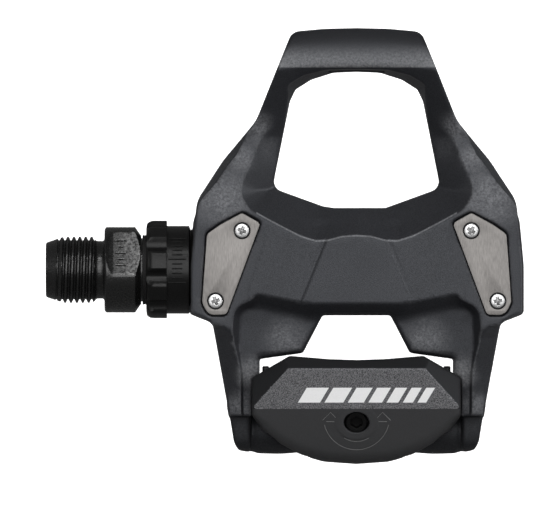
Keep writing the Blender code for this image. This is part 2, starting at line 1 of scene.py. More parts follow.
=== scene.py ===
"""Looks of the road clipless pedal: fine surfaces, materials, light and camera.

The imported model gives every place.  Shapes are worked out in millimetres, in the model's frame:
+X along the spindle from the crank outwards, +Y to the toe, +Z up on the cleat side.
"""
import functools
import json
import math

import bmesh
import bpy
import numpy as np
import openvdb
from mathutils import Matrix, Vector


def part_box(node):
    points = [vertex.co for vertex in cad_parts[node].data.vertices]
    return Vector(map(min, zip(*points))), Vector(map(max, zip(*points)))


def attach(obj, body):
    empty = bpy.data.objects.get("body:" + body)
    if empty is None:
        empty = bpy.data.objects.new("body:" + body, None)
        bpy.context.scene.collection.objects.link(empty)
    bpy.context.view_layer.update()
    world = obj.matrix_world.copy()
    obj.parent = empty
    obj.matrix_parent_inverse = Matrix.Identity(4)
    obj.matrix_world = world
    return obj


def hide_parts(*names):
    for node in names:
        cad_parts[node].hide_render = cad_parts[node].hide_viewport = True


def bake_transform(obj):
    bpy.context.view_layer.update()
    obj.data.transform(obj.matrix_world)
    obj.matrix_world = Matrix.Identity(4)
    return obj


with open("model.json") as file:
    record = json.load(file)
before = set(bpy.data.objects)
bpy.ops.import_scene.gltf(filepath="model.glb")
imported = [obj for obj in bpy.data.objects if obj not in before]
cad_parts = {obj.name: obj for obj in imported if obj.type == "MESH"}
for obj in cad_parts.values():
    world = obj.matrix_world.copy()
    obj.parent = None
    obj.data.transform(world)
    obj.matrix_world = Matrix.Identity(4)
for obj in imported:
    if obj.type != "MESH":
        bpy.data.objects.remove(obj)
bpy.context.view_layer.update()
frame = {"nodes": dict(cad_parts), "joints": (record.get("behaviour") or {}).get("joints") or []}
JOINTS = {joint["name"]: joint for joint in frame["joints"]}
MM = 0.001


def box_mm(node):
    """A node's lowest and highest corners in millimetres."""
    low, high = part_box(node)
    return low / MM, high / MM


# ------- places read from the frame
BODY_LOW, BODY_HIGH = box_mm("body_frame")
BODY_X = (BODY_LOW.x + BODY_HIGH.x) / 2
BODY_HALF = (BODY_HIGH.x - BODY_LOW.x) / 2
PLATE_TOP = box_mm("crank_side_plate")[1].z
PLATE_BASE = box_mm("crank_side_plate")[0].z
PLATFORM = PLATE_TOP - 0.1
PIN = Vector(JOINTS["claw_pivot"]["pos_m"]) / MM
BOLT_FOOT = Vector(JOINTS["tension_bolt_turn"]["pos_m"]) / MM
BOLT_UP = -Vector(JOINTS["tension_bolt_turn"]["axis"])
BOLT_TILT = math.atan2(-BOLT_UP.y, BOLT_UP.z)
PIN_R = (box_mm("binding_pin")[1].z - box_mm("binding_pin")[0].z) / 2
CREST = BODY_HIGH.z

# ------- outlines of the body
# Each corner is half width and Y, with a radius unless it is sharp; both ends are in the middle
OUTER = ((0, 51.9), (7, 51.75, 40), (13.9, 51.1, 2.6), (21.6, 32, 9), (28.7, 23.5, 12),
         (34.3, 14.9, 7), (BODY_HALF, 1, 12), (BODY_HALF, -9.2, 0.8), (31, -11.2, 2.4),
         (27.35, -31.4), (0, -31.5))
TOE_HOLE = ((0, 42.5), (5, 42.3, 6), (9.8, 40.8, 4), (13.1, 38.7, 0.5), (14.3, 36.2, 4),
            (18.05, 17.6, 2.2), (6.2, 13.3, 1.5), (0, 13.31))
TOE_BROW = ((0, 43), (6.5, 42.9, 8), (11.4, 41.7, 3), (14.7, 39.7, 1.5), (15.1, 36, 5),
            (18.35, 17.5, 2.2), (6.2, 13.1, 1.5), (0, 13.11))
FUNNEL_MOUTH = ((0, 44.5), (13.5, 43.8, 2), (16.6, 38, 8), (20, 30, 6), (25.5, 16.6, 5),
                (22.8, 12.6, 5), (14.5, 8.3, 8), (9, 6.2, 4), (6.2, 6.35, 1.5), (0, 7.4))
HEEL_NOTCH = ((0, -9.8), (7.3, -9.8, 0.8), (11.5, -17.9, 0.9), (20.8, -19.2, 0.4),
              (20.8, -22.4, 0.5), (22.52, -23.4, 0.4), (22.52, -44), (0, -44.1))
SHELF_EDGE = ((0, -10.4), (9.8, -10.4, 1.5), (21, -8, 1.5), (25, -8.4, 2.6), (25.3, -16, 4),
              (24.5, -22, 3), (24.1, -40), (0, -40.1))
CENTRE_PANEL = ((0, 14), (3.2, 14), (6.5, 6.4), (11.7, -6.4, 0.4), (11, -16), (0, -16.1))
SIDE_PANEL = ((0, 16), (16, 16), (19, 7.7), (23, -4.6), (22.5, -16), (0, -16.1))
HEEL_OUTLINE = ((0, -25), (31, -25), (28.3, -36.7, 1), (25.4, -38.9, 2), (21.2, -40, 5),
                (16.5, -40.3, 5), (11.5, -39.5), (0, -39.5))
PLATE_CORNERS = ((24.6, 12.25, 1), (20.6, 10, 1), (27.9, -9.65, 1.2), (31.9, -9.75, 2.4),
                 (33.2, -7, 2), (32.15, 7.7, 1.5), (29.3, 9.7, 2.5))
PLATE_SCREWS = ((24.6, 8.4), (30.3, -6.7))

# Heights along Y, as (Y, height): the rails' top, the underside and the shelf's floor
RAIL = ((48, CREST + 3), (43.9, CREST + 0.3), (40, 12.5), (36, 9.9), (32.5, 7.9), (30.2, 7.3),
        (27, 7.9), (23, 9.1), (19, 9.9), (15, 10.4), (11, PLATFORM), (-10, PLATFORM), (-13, 9.4),
        (-17, 7.3), (-22, 5.5), (-29, 3), (-32, 2.2))
UNDERSIDE = ((53, 7.6), (44, 4.2), (30, 0.4), (16, -4.2), (-13, -4.6), (-19, -8.2), (-26, -12.2),
             (-34, -13))
SHELF = ((-5, 7.4), (-10, 6.8), (-17.8, 6), (-20.5, 5.5), (-23, 4.7), (-25, 3.7), (-29, 2),
         (-32, 1.2))
# Width of the steep bevel along the outer edge, along Y, where the toe arms spread
FLARE = ((13.2, 0), (14.5, 0.4), (16.4, 0.9), (19, 1.35), (24.8, 1.4), (28.4, 0.5), (29.8, 0))
# Half width of the ridge along the rear arms, along Y
ARM_RIDGE_Y = (-31.4, -26.9, -22.6, -19.4, -14.5, -12.2, -9.9)
ARM_RIDGE_HALF = (24.6, 24.7, 24.9, 25.6, 26.3, 28.5, 40)
CREASE_Y = 43.7               # the toe bar's crease in the middle; it bows down sideways

# ------- outlines of the claw
# The side, throat, cavity and web are sections across X, so their places are Y and Z
CLAW_HALF = (box_mm("binding_claw")[1].x - box_mm("binding_claw")[0].x) / 2
CLAW_TOP = ((0, -19.35), (6, -19.15, 12), (14.4, -18.45, 0.8), (CLAW_HALF, -23.1, 0.4),
            (CLAW_HALF, -31.4, 1.5), (20.3, -34.5, 5), (16.6, -37.6, 6), (12.2, -39.9, 7),
            (7, -41.4, 9), (0, -41.9))
CLAW_SIDE = ((-16, 16), (-16, -4.2), (-27.5, -4.4, 1), (-30, -2.6, 1), (-36, -1.8, 2),
             (-40.3, -5.8, 1), (-40.6, -9.4, 0.3), (-44, -9.4), (-44, 16))
CLAW_THROAT = ((-24.2, -4.2), (-23.6, 2.0), (-23.0, 8.6), (-18.9, 9.4), (-16.0, 9.8))
CLAW_CAVITY = ((-26, 5.4, 0.8), (-30.2, 4.6, 0.8), (-36, 0.4, 2), (-40.2, -5, 1.5), (-40.2, -14),
               (-27, -14))
CLAW_WEB = ((-39.4, -12.5, 4.4), (-30.4, -12.5, 4.4), (-30.5, -6.2, 1), (-31.9, -3.4, 1),
            (-31.9, 6), (-36.6, 1.6))
FACET_FRONT = (-21.2, 12.4)    # Y and Z of the textured facet's front and rear edges
FACET_REAR = (-29.8, 7.8)
BOLT_Y = -33.1                 # where the tension bolt meets the claw's top
BOLT_TOP = box_mm("tension_bolt")[1].z

# ------- axle unit and springs
SPIN_SIDES = 180
SPIN_TURN = np.arange(SPIN_SIDES) * 2 * np.pi / SPIN_SIDES
FLATS_TURN = math.radians(28)
FLATS_HALF = 7.5
THREAD_R = 7.14
THREAD_PITCH = 25.4 / 20
NECK_R = 6.2                   # the relief neck behind the crank thread
COLLAR_R = 9.2
LOBE_COUNT = 9
LOBE_PHASE = math.radians(11.5)
LOBE_FLOOR = 9.2
LOBE_CREST = 10.58
SLEEVE_R = 9.45                # the lock bolt's plain part, beside its grips
COIL_R = 3.95
WIRE_R = 0.88
TANG_X = 11.0                  # where a spring's coil starts, from the middle plane

# ------- wear and painted highlights, light and mesh density
# Each place rubbed paler, partly wear and partly painted highlight, is half width, Y, Z and radius
RUBBED_AND_SHEEN = ((28.5, 15.5, 10.3, 9.5), (25, 24, 8.8, 5.2), (21.2, 31, 7.5, 5), (18.6, 27, 6, 5),
          (24.8, -29.5, 2.8, 5.5), (22.6, -21.6, 4.6, 5.5), (15, -15, 6, 7))
# A painted highlight at the shelf's corner, as half width, Y, Z and radius
SHELF_CORNER_HIGHLIGHT = (22.4, -22.2, 4.8, 4.4)
# The rim's painted highlight line: its places are half width and Y
RIM_HIGHLIGHT_LINE = ((0, 7.35), (3, 7.15), (6.3, 6.3), (8.8, 6.2), (12, 7.2), (14.6, 8.5), (19.5, 11.1),
            (22, 12.5))
RIM_HALF = 22.0
RIM_REACH = 20.0
# Behind this Y the body takes the darker resin that paints shade on the hinge lobes
HEEL_SHADE_Y = -31.6
COOL = (0.9, 0.93, 1.0)
FLOOR_GLOW = 0.75
FLOOR_DROP = 0.12              # metres from the pedal's underside to the floor
VIEW_MIDDLE = (48.75, 3.4)     # what the camera looks at, and how much it sees across
VIEW_WIDTH = 117.2
WORLD_LIGHT = 0.14
# Name, place, size and power of each lamp, in metres and watts, and where they all point
LAMP_AIM = (0.05, 0, 0)
LAMPS = (("overhead_softbox", (0.05, 1, 5.2), (4.8, 4), 176),
         ("far_strip", (0.05, 3.5, 3.4), (3.6, 0.5), 50),
         ("side_strip", (4.3, 1, 1.8), (1, 2.8), 95),
         ("crank_side_strip", (-4.2, 1, 1.8), (1, 2.8), 16))
BODY_THINNING = 0.01           # how far flat areas are simplified, from 0 to 1
CLAW_THINNING = 0.005


# ------- outlines and distances
def rounded(corners, steps=8):
    """Points of a closed outline: corners are (a, b, radius), or (a, b) where sharp."""
    points = []
    for i, (a, b, *radius) in enumerate(corners):
        corner = Vector((a, b))
        before = Vector(corners[i - 1][:2]) - corner
        after = Vector(corners[(i + 1) % len(corners)][:2]) - corner
        if not radius:
            points.append(corner)
            continue
        half = before.angle(after) / 2
        room = 0.49 * min(before.length, after.length)
        radius = min(radius[0], room * math.tan(half))
        before.normalize()
        after.normalize()
        centre = corner + (before + after).normalized() * (radius / math.sin(half))
        start = corner + before * (radius / math.tan(half)) - centre
        end = corner + after * (radius / math.tan(half)) - centre
        for k in range(steps + 1):
            points.append(centre + start.slerp(end, k / steps) * radius)
    return points


def mirrored(half):
    """A whole outline from its right half."""
    left = [(-a, *rest) for a, *rest in reversed(half) if a > 0]
    return rounded(list(half) + left)


def outline_distance(outline, x, y):
    """Signed distance to a closed outline, negative inside it."""
    nearest = np.full(np.broadcast(x, y).shape, 1e9)
    inside = np.zeros(nearest.shape, bool)
    for a, b in zip(outline, outline[1:] + outline[:1]):
        ex = b[0] - a[0]
        ey = b[1] - a[1]
        share = np.clip(((x - a[0]) * ex + (y - a[1]) * ey) / (ex * ex + ey * ey), 0, 1)
        gap = (x - a[0] - share * ex) ** 2 + (y - a[1] - share * ey) ** 2
        nearest = np.minimum(nearest, gap)
        if ey != 0:
            crosses = ((a[1] <= y) != (b[1] <= y)) & (x < a[0] + (y - a[1]) * ex / ey)
            inside ^= crosses
    return np.where(inside, -1, 1) * np.sqrt(nearest)


def half_distance(half, x, y):
    """Signed distance to a symmetrical outline given by its right half."""
    return outline_distance(mirrored(half), x, y)


def arc(centre, radius, start, end, steps=28):
    """Places on a circle from one angle to another, in degrees."""
    places = []
    for k in range(steps + 1):
        angle = math.radians(start + (end - start) * k / steps)
        places.append((centre[0] + radius * math.cos(angle), centre[1] + radius * math.sin(angle)))
    return places


def meet(a, b, radius):
    """The overlap of two solids, its edge rounded."""
    round_part = np.hypot(np.maximum(a + radius, 0), np.maximum(b + radius, 0))
    return np.minimum(-radius, np.maximum(a, b)) + round_part


def cut(a, b, radius):
    """Solid a without solid b, the new edge rounded."""
    return meet(a, -b, radius)


def merge(a, b, radius):
    """Two solids joined with a fillet."""
    return -meet(-a, -b, radius)


def soft_min(a, b, radius):
    """The lower of two heights, blended over a radius that may vary."""
    share = np.clip(0.5 + 0.5 * (b - a) / radius, 0, 1)
    return b + (a - b) * share - radius * share * (1 - share)


def soft_max(a, b, radius):
    """The higher of two heights, blended over a radius that may vary."""
    return -soft_min(-a, -b, radius)


def smooth_profile(points, y, width):
    """Height along Y through the points, with its bends smoothed over a width."""
    at, height = zip(*sorted(points))
    shares = (-1.0, -0.6, -0.2, 0.2, 0.6, 1.0)
    return sum(np.interp(y + share * width, at, height) for share in shares) / len(shares)


def steepness(height, step):
    """Cosine of the slope of a height map, to turn heights into distances."""
    across, along = np.gradient(height[:, :, 0], step)
    return 1 / np.sqrt(1 + across ** 2 + along ** 2)[:, :, None]


def overlap(*solids):
    """The overlap of several solids, its edges left sharp."""
    return functools.reduce(np.maximum, solids)


def cylinder_x(y, z, radius, at=(PIN.y, PIN.z)):
    """Distance to a round bar along X, about the hinge pin unless told otherwise."""
    return np.hypot(y - at[0], z - at[1]) - radius


# ------- meshes
def linked(name, data):
    """A new object in the scene."""
    item = bpy.data.objects.new(name, data)
    bpy.context.scene.collection.objects.link(item)
    return item


def settled(name, mesh, work, sharp=None):
    """An object whose mesh takes up a bmesh, shaded smooth but for edges past an angle."""
    work.to_mesh(mesh)
    work.free()
    mesh.shade_smooth()
    if sharp is not None:
        mesh.set_sharp_from_angle(angle=math.radians(sharp))
    return linked(name, mesh)


def new_mesh(name, points, faces, sharp=None):
    """A mesh object from points in metres, its faces turned outwards."""
    mesh = bpy.data.meshes.new(name)
    mesh.from_pydata(points, [], faces)
    work = bmesh.new()
    work.from_mesh(mesh)
    bmesh.ops.remove_doubles(work, verts=work.verts, dist=0.001 * MM)
    bmesh.ops.recalc_face_normals(work, faces=work.faces)
    return settled(name, mesh, work, sharp)


def join_pieces(name, pieces):
    """Several meshes as one object."""
    work = bmesh.new()
    for piece in pieces:
        work.from_mesh(piece.data)
        bpy.data.objects.remove(piece)
    return settled(name, bpy.data.meshes.new(name), work, 40)


class Block:
    """A regular block of sample points in millimetres."""

    def __init__(self, low, high, step):
        self.step = step
        self.low = np.array(low, float)
        counts = [int(round((b - a) / step)) + 1 for a, b in zip(low, high)]
        axes = [a + np.arange(n) * step for a, n in zip(low, counts)]
        self.x = axes[0][:, None, None]
        self.y = axes[1][None, :, None]
        self.z = axes[2][None, None, :]

    def mesh(self, name, field, thinning=0.0, middle=0.0):
        """The surface where the field is zero, as an object moved out to a middle plane."""
        grid = openvdb.FloatGrid(4.0)
        grid.copyFromArray(np.ascontiguousarray(field, dtype=np.float32))
        points, triangles, quads = grid.convertToPolygons(0.0, thinning)
        places = (self.low + points * self.step + np.array((middle, 0, 0))) * MM
        faces = [tuple(face) for face in (*quads.tolist(), *triangles.tolist())]
        return new_mesh(name, places.tolist(), faces)


def whole_field(rule, low, high, step):
    """A block over both halves, and its field from a rule for the right half."""
    half = rule(Block(low, high, step))
    block = Block((-high[0], low[1], low[2]), high, step)
    return block, np.concatenate((half[:0:-1], half), axis=0)


def ring_faces(rows, sides, closed=False):
    """Faces that join rings of points row by row, with caps unless the last meets the first."""
    faces = []
    for row in range(rows if closed else rows - 1):
        here = row * sides
        after = (row + 1) % rows * sides
        for k in range(sides):
            j = (k + 1) % sides
            faces.append((here + k, here + j, after + j, after + k))
    if not closed:
        faces.append(tuple(range(sides)))
        faces.append(tuple((rows - 1) * sides + k for k in range(sides)))
    return faces


def spun(name, stations, sides, sharp=30, closed=False, place=None):
    """A piece swept round an axis: each station is (x, radius or radii round the turn)."""
    turn = np.arange(sides) * 2 * np.pi / sides
    points = []
    for x, radius in stations:
        radii = np.broadcast_to(radius, sides)
        points.append(np.stack((np.full(sides, x), radii * np.sin(turn), radii * np.cos(turn)), 1))
    points = (np.concatenate(points) * MM).tolist()
    item = new_mesh(name, points, ring_faces(len(stations), sides, closed), sharp)
    if place is not None:
        item.data.transform(place)
    return item


def ring(name, section):
    """A turned ring from its closed section of (x, radius)."""
    return spun(name, section, 96, closed=True)


def tube(name, path, radius, sides=8):
    """A round wire along a path of points in metres."""
    points = []
    normal = Vector((0, 0, 1))
    for k, place in enumerate(path):
        ahead = path[min(k + 1, len(path) - 1)] - path[max(k - 1, 0)]
        ahead.normalize()
        if k == 0 and abs(ahead.z) > 0.9:
            normal = Vector((0, 1, 0))
        normal = (normal - ahead * normal.dot(ahead)).normalized()
        across = ahead.cross(normal)
        for i in range(sides):
            angle = 2 * math.pi * i / sides
            points.append(place + (normal * math.cos(angle) + across * math.sin(angle)) * radius)
    return new_mesh(name, points, ring_faces(len(path), sides), 50)


# ------- body
def plate_outline(side, grow):
    """A wear plate's outline on one side of the body, grown outwards."""
    middle = Vector((27.0, 1.0))
    corners = []
    for a, b, radius in PLATE_CORNERS:
        away = Vector((a, b)) - middle
        place = middle + away * (1 + grow / away.length)
        corners.append((side * place.x, place.y, radius))
    return rounded(corners)


def rail_height(x, y):
    """Height of the rails, the toe bar's nose and the rear arms' flanks."""
    crease = CREASE_Y - 0.0033 * x ** 2
    rail = smooth_profile(RAIL, y + 43.9 - crease, 0.6)
    ahead = np.maximum(y - crease, 0)
    nose = CREST + 0.3 - 0.06 * ahead - 0.06 * ahead ** 2
    rail = soft_min(rail, nose, 0.25)
    ridge = np.interp(y, ARM_RIDGE_Y, ARM_RIDGE_HALF)
    fall = np.interp(y, (-31.0, -27.0, -14.0), (0.3, 0.75, 1.0))
    return soft_min(rail, rail - fall * (x - ridge), 0.7)


def body_top(x, y, outer):
    """Height of the body's upper surface over the half plane."""
    rail = rail_height(x, y)
    centre = half_distance(CENTRE_PANEL, x, y)
    side = half_distance(SIDE_PANEL, x, y)
    panel = rail + 0.3 * np.clip(0.5 - centre / 0.35, 0, 1)
    panel = panel - 0.16 * np.clip(side / 0.45, 0, 1) * np.clip((9.5 - y) / 3, 0, 1)
    groove = np.clip(1 - np.abs(centre - 0.25) / 0.45, 0, 1) * np.interp(y, (-6.5, 7.0), (0.1, 1))
    panel = panel - np.where(x > 5.5, 0.2 * groove, 0)
    mouth = half_distance(FUNNEL_MOUTH, x, y)
    softness = np.interp(y, (28.0, 33.5), (0.12, 4.5))
    steep = np.interp(y, (28.0, 41.0), (1.0, 0.45))
    lift = 0.3 * np.clip(0.5 - centre / 5.0, 0, 1)
    top = soft_min(panel, rail + lift + steep * mouth, softness)
    flare = np.interp(y, *zip(*FLARE))
    top = np.where(flare > 0.01, soft_min(top, rail - 3.0 * (flare + outer), 0.2), top)
    shelf = half_distance(SHELF_EDGE, x, y)
    ledge = smooth_profile(SHELF, y, 0.5)
    wall = ledge + np.interp(x, (21.5, 24.0), (1.15, 2.6)) * shelf
    behind = soft_max(ledge, wall, np.interp(y, (-17.0, -12.0), (0.4, 1.1)))
    return soft_min(top, behind, 0.3)


def body_field(block):
    """The body's right half: its shape before the bore and the screw holes."""
    x, y, z = block.x, block.y, block.z
    outer = half_distance(OUTER, x, y)
    top = body_top(x, y, outer)
    bottom = smooth_profile(UNDERSIDE, y, 2.0) + 0 * x
    body = meet(outer, (z - top) * steepness(top, block.step), 0.55)
    body = meet(body, (bottom - z) * steepness(bottom, block.step), 1.5)
    hole = half_distance(TOE_HOLE, x, y)
    brow = half_distance(TOE_BROW, x, y)
    notch = half_distance(HEEL_NOTCH, x, y)
    body = cut(body, coring(x, y, z, outer, hole, notch, top), 0.3)
    rise = np.clip((z - 4.0) / 7.0, 0, 1)
    body = cut(body, hole * (1 - rise) + brow * rise, 0.35)
    housing = meet(barrel_section(y, z), outer + 0.15, 1.2)
    body = merge(body, housing, 1.5)
    notch_edge = np.interp(y, (-24.0, -22.0, -18.0, -12.0), (0.4, 1.2, 1.7, 1.0))
    tuck = 0.7 * np.clip(-5.5 - z, 0, 1) * np.clip(-23.0 - y, 0, 1)
    body = cut(body, notch + tuck, notch_edge)
    return cut_body_details(add_knuckles(body, x, y, z), x, y, z)


def coring(x, y, z, outer, hole, notch, top):
    """The pockets that hollow the body from below, with ribs left between them."""
    wall, rib_half = 2.4, 0.8
    plan = overlap(outer + wall, wall - hole, wall - notch, 12.6 - np.abs(y), y - 38, -28 - y)
    for rib in (9.0, 20.5):
        plan = np.maximum(plan, rib_half - np.abs(x - rib))
    return meet(plan, z - (top - 3.0), 0.8)


def barrel_section(y, z):
    """Section of the axle housing: a barrel with slanted sides and a flat bottom."""
    side = np.abs(y) - 11.2
    slant = np.abs(y) * 0.62 - z * 0.785 - 12.6
    return meet(meet(side, -11.5 - z, 3.0), np.maximum(slant, z - 6.0), 2.0)


def add_knuckles(body, x, y, z):
    """The lobes at the ends of the rear arms, which carry the hinge pin."""
    barrel_in, barrel_out = 12.2, 26.3
    lobe_in, lobe_out = 22.75, 27.15 + 0.16 * (y + 32.3)
    barrel = cylinder_x(y, z, 5.0)
    barrel = meet(barrel, np.maximum(barrel_in - x, x - barrel_out), 0.5)
    away = np.hypot(y - PIN.y, z - PIN.z)
    barrel = meet(barrel, (x - 21.8) * 0.72 + away * 0.69 - 3.9, 1.5)
    lobe = cylinder_x(y, z, 5.6, (PIN.y + 0.6, PIN.z + 0.6))
    lobe = meet(lobe, np.maximum(lobe_in - x, x - lobe_out), 0.8)
    lobe = meet(lobe, np.maximum(BODY_LOW.z - z, z + 2.4), 0.6)
    lobes = meet(merge(barrel, lobe, 0.5), half_distance(HEEL_OUTLINE, x, y), 1.2)
    return merge(body, lobes, 0.8)


def cut_body_details(body, x, y, z):
    """The cleat's pocket, plate seats, pin bore and the slots for the springs' tangs."""
    pocket = meet(np.maximum(np.abs(z - 7.6) - 1.5, y - 46.6), np.abs(x) - 6.0, 0.6)
    body = cut(body, np.maximum(pocket, 41.2 - y), 0.3)
    seat = outline_distance(plate_outline(1, 0.35), x, y)
    body = cut(body, np.maximum(seat, PLATE_BASE - 0.3 - z), 0.12)
    body = cut(body, cylinder_x(y, z, PIN_R + 0.2), 0.25)
    across, along = pin_frame(y, z)
    return np.maximum(body, -overlap(np.abs(across) - 1.2, along + 2.0, np.abs(x - 12.5) - 2.5))


def pin_frame(y, z):
    """Places about the pin, with the second direction along the tension bolt."""
    across = (y - PIN.y) * math.cos(BOLT_TILT) + (z - PIN.z) * math.sin(BOLT_TILT)
    along = (z - PIN.z) * math.cos(BOLT_TILT) - (y - PIN.y) * math.sin(BOLT_TILT)
    return across, along


def cut_bore(field, block):
    """The stepped bore for the axle unit, open on the crank side only, and screw holes."""
    radius = np.hypot(block.y, block.z)
    along = block.x + BODY_X
    wide = np.maximum(radius - 9.4, along - 38.3)
    narrow = np.maximum(radius - 8.3, along - 99.9)
    field = cut(field, np.minimum(wide, narrow), 0.2)
    screw_r = 1.2
    for side in (-1, 1):
        for a, b in PLATE_SCREWS:
            hole = np.hypot(block.x - side * a, block.y - b) - screw_r
            field = np.maximum(field, -np.maximum(hole, 7.3 - block.z))
    return field


def make_body():
    block, field = whole_field(body_field, (0, -42.9, -14.7), (37.2, 53.4, 16.8), 0.3)
    return block.mesh("fine_body", cut_bore(field, block), BODY_THINNING, BODY_X)


# ------- claw
def claw_top(x, y):
    """Height of the claw's upper side: lip, textured facet, side chamfers and lens."""
    front_y, front_z = FACET_FRONT
    rear_y, rear_z = FACET_REAR
    facet = front_z - (front_z - rear_z) / (front_y - rear_y) * (front_y - y)
    lip = front_z - 0.93 * (y - front_y)
    chamfer = front_z - 1.06 * (x - 14.6) - 0.43 * (y - front_y)
    behind = np.maximum(rear_y - y, 0)
    lens = rear_z - 0.72 * behind - 0.02 * behind ** 2
    lens = np.where(y < rear_y, lens, facet)
    return np.minimum(np.minimum(lens, lip), chamfer)


def claw_field(block):
    """The claw's right half: cap, lip, cavity, webs and the boss for the tension bolt."""
    x, y, z = block.x, block.y, block.z
    top = claw_top(x, y)
    upper = (z - top) * steepness(top, block.step)
    claw = meet(half_distance(CLAW_TOP, x, y), upper, np.interp(y, (-33.0, -29.0), (2.6, 0.25)))
    claw = meet(claw, outline_distance(rounded(CLAW_SIDE), y, z), 0.3)
    wall = np.interp(x, (19.0, 21.2), (2.2, 0.75))
    roof = np.minimum(np.interp(y, *zip(*CLAW_THROAT)), top - wall)
    claw = cut(claw, np.maximum(z - roof, -24.2 - y), 0.3)
    cavity = outline_distance(rounded(CLAW_CAVITY), y, z)
    claw = cut(claw, meet(cavity, x - (CLAW_HALF - 2.6), 0.8), 0.3)
    room = cylinder_x(y, z, 5.45)
    claw = cut(claw, np.maximum(room, 11.7 - x), 0.3)
    web = outline_distance(rounded(CLAW_WEB), y, z)
    claw = merge(claw, meet(web, np.abs(x - 4.15) - 0.75, 0.2), 0.4)
    nub = np.maximum(np.abs(x - 19.5) - 0.75, np.abs(y + 22.7) - 2.0)
    claw = np.minimum(claw, meet(nub, np.abs(z - 1.0) - 1.3, 0.6))
    return add_bolt_room(claw, x, y, z, upper)


def add_bolt_room(claw, x, y, z, upper):
    """The boss for the tension bolt, its recess and the pin's bore."""
    across, along = pin_frame(y, z)
    middle, surface_at = pin_frame(BOLT_Y, BOLT_TOP + 0.8 * math.cos(BOLT_TILT))
    radius = np.hypot(x, across - middle)
    claw = merge(claw, overlap(radius - 4.3, surface_at - 6.4 - along, upper), 0.5)
    head_room = np.maximum(radius - 2.72, surface_at - 4.0 - along)
    shank_room = np.maximum(radius - 2.2, surface_at - 9.0 - along)
    claw = cut(claw, np.minimum(head_room, shank_room), 0.2)
    return cut(claw, cylinder_x(y, z, PIN_R + 0.1), 0.15)


def make_claw():
    block, field = whole_field(claw_field, (0, -42.9, -13.78), (23.4, -17.42, 13.52), 0.26)
    return block.mesh("fine_claw", field, CLAW_THINNING, BODY_X)


def on_claw(x, y, lift):
    """A point on the claw's top, in metres, from places relative to the middle plane."""
    height = float(claw_top(np.array([abs(x)]), np.array([y]))[0])
    return Vector((BODY_X + x, y, height + lift)) * MM


def make_stripes():
    """Plain slanted bars on the facet, each narrower than the one before."""
    front, rear = -25.3, -28.5
    lean, gap = 1.9, 0.95
    sink, rise = -0.1, 0.07
    pieces = []
    at = -12.6
    for k in range(7):
        width = 4.4 * 0.84 ** k + 0.35
        corners = ((at, rear), (at + width, rear), (at + width + lean, front), (at + lean, front))
        points = [on_claw(x, y, lift) for lift in (sink, rise) for x, y in corners]
        pieces.append(new_mesh("stripe", points, ring_faces(2, 4)))
        at += width + gap
    return join_pieces("facet_stripes", pieces)


def make_turn_marks():
    """Raised lines round the tension bolt: a crescent with an arrow head at each end."""
    line = 0.085 * MM
    sink = -0.02
    lines = [arc((0, -31.6), 7.1, 194, 346), arc((0, -31.9), 5.0, 238, 302, 14)]
    for side in (-1, 1):
        lines.append([(side * 7.3, -32.3), (side * 5.6, -30.6), (side * 3.9, -32.3)])
        lines.append([(side * 4.7, -32.6), (side * 6.5, -32.6)])
    pieces = [tube("mark", [on_claw(x, y, sink) for x, y in places], line) for places in lines]
    return join_pieces("turn_marks", pieces)


# ------- spindle, lock bolt and bearings
def thread_radius(x, crest, pitch, depth):
    """Radius round the turn of a right-hand thread with blunt crests and round roots."""
    phase = (x / pitch - SPIN_TURN / (2 * np.pi)) % 1.0
    fall = np.clip(1.3 * np.abs(2 * phase - 1) - 0.22, 0, 1)
    return crest - depth * (3 * fall ** 2 - 2 * fall ** 3)


def stations_along(low, high, step, rule):
    """Stations at even steps, each with the radius that a rule gives there."""
    return [(float(x), rule(x)) for x in np.arange(low, high, step)]


def tip_radius(x):
    """The crank thread, with a long lead chamfer before it and the relief neck behind."""
    chamfer = 5.85 + 0.33 * x
    end = NECK_R + 0.05 + 1.2 * max(0.0, 10.9 - x)
    radius = np.minimum(thread_radius(x, THREAD_R, THREAD_PITCH, 0.8), min(chamfer, end))
    return np.maximum(radius, min(chamfer, NECK_R))


def collar_radius(x):
    """The collar, with two wrench flats that run out in an arc towards the crank."""
    body = min(COLLAR_R, 8.75 + 1.2 * (x - 12.62), COLLAR_R - 1.45 * (x - 19.2))
    away = np.abs(np.cos(SPIN_TURN - FLATS_TURN))
    run_out = 0.42 * max(0.0, 14.8 - x) ** 2
    return np.minimum(body, (FLATS_HALF + run_out) / np.maximum(away, 0.05))


def make_spindle():
    stations = [(0, 0.01), (0, 5.5), (0.1, 5.78), (0.25, 5.9)]
    stations += stations_along(0.4, 10.9, 0.075, tip_radius)
    stations += [(11, NECK_R + 0.02), (12.2, NECK_R), (12.45, 6.35), (12.6, 6.7), (12.62, 8.6)]
    stations += stations_along(12.65, 20.5, 0.1, collar_radius)
    stations += [(20.5, 7.4), (20.5, 6.8), (38, 6.8), (38.5, 5.6), (57, 5.6), (58.5, 4.8),
                 (76.1, 4.8), (76.2, 4.7), (76.2, 2.7)]
    stations += stations_along(76.4, 98.5, 0.12, lambda x: thread_radius(x, 2.68, 0.8, 0.38))
    stations += [(98.55, 2.45), (98.9, 2.25), (98.9, 0.01)]
    return spun("fine_spindle", stations, SPIN_SIDES, 38)


def lobe_radius(crest):
    """Radii round the lock bolt's head: nine grips with hollow valleys between them."""
    pitch = 2 * np.pi / LOBE_COUNT
    turn = (SPIN_TURN - LOBE_PHASE + pitch / 2) % pitch - pitch / 2
    grip = np.clip((1 - np.abs(turn) / (pitch / 2)) / 0.5, 0, 1)
    return LOBE_FLOOR + (crest - LOBE_FLOOR) * grip ** 2


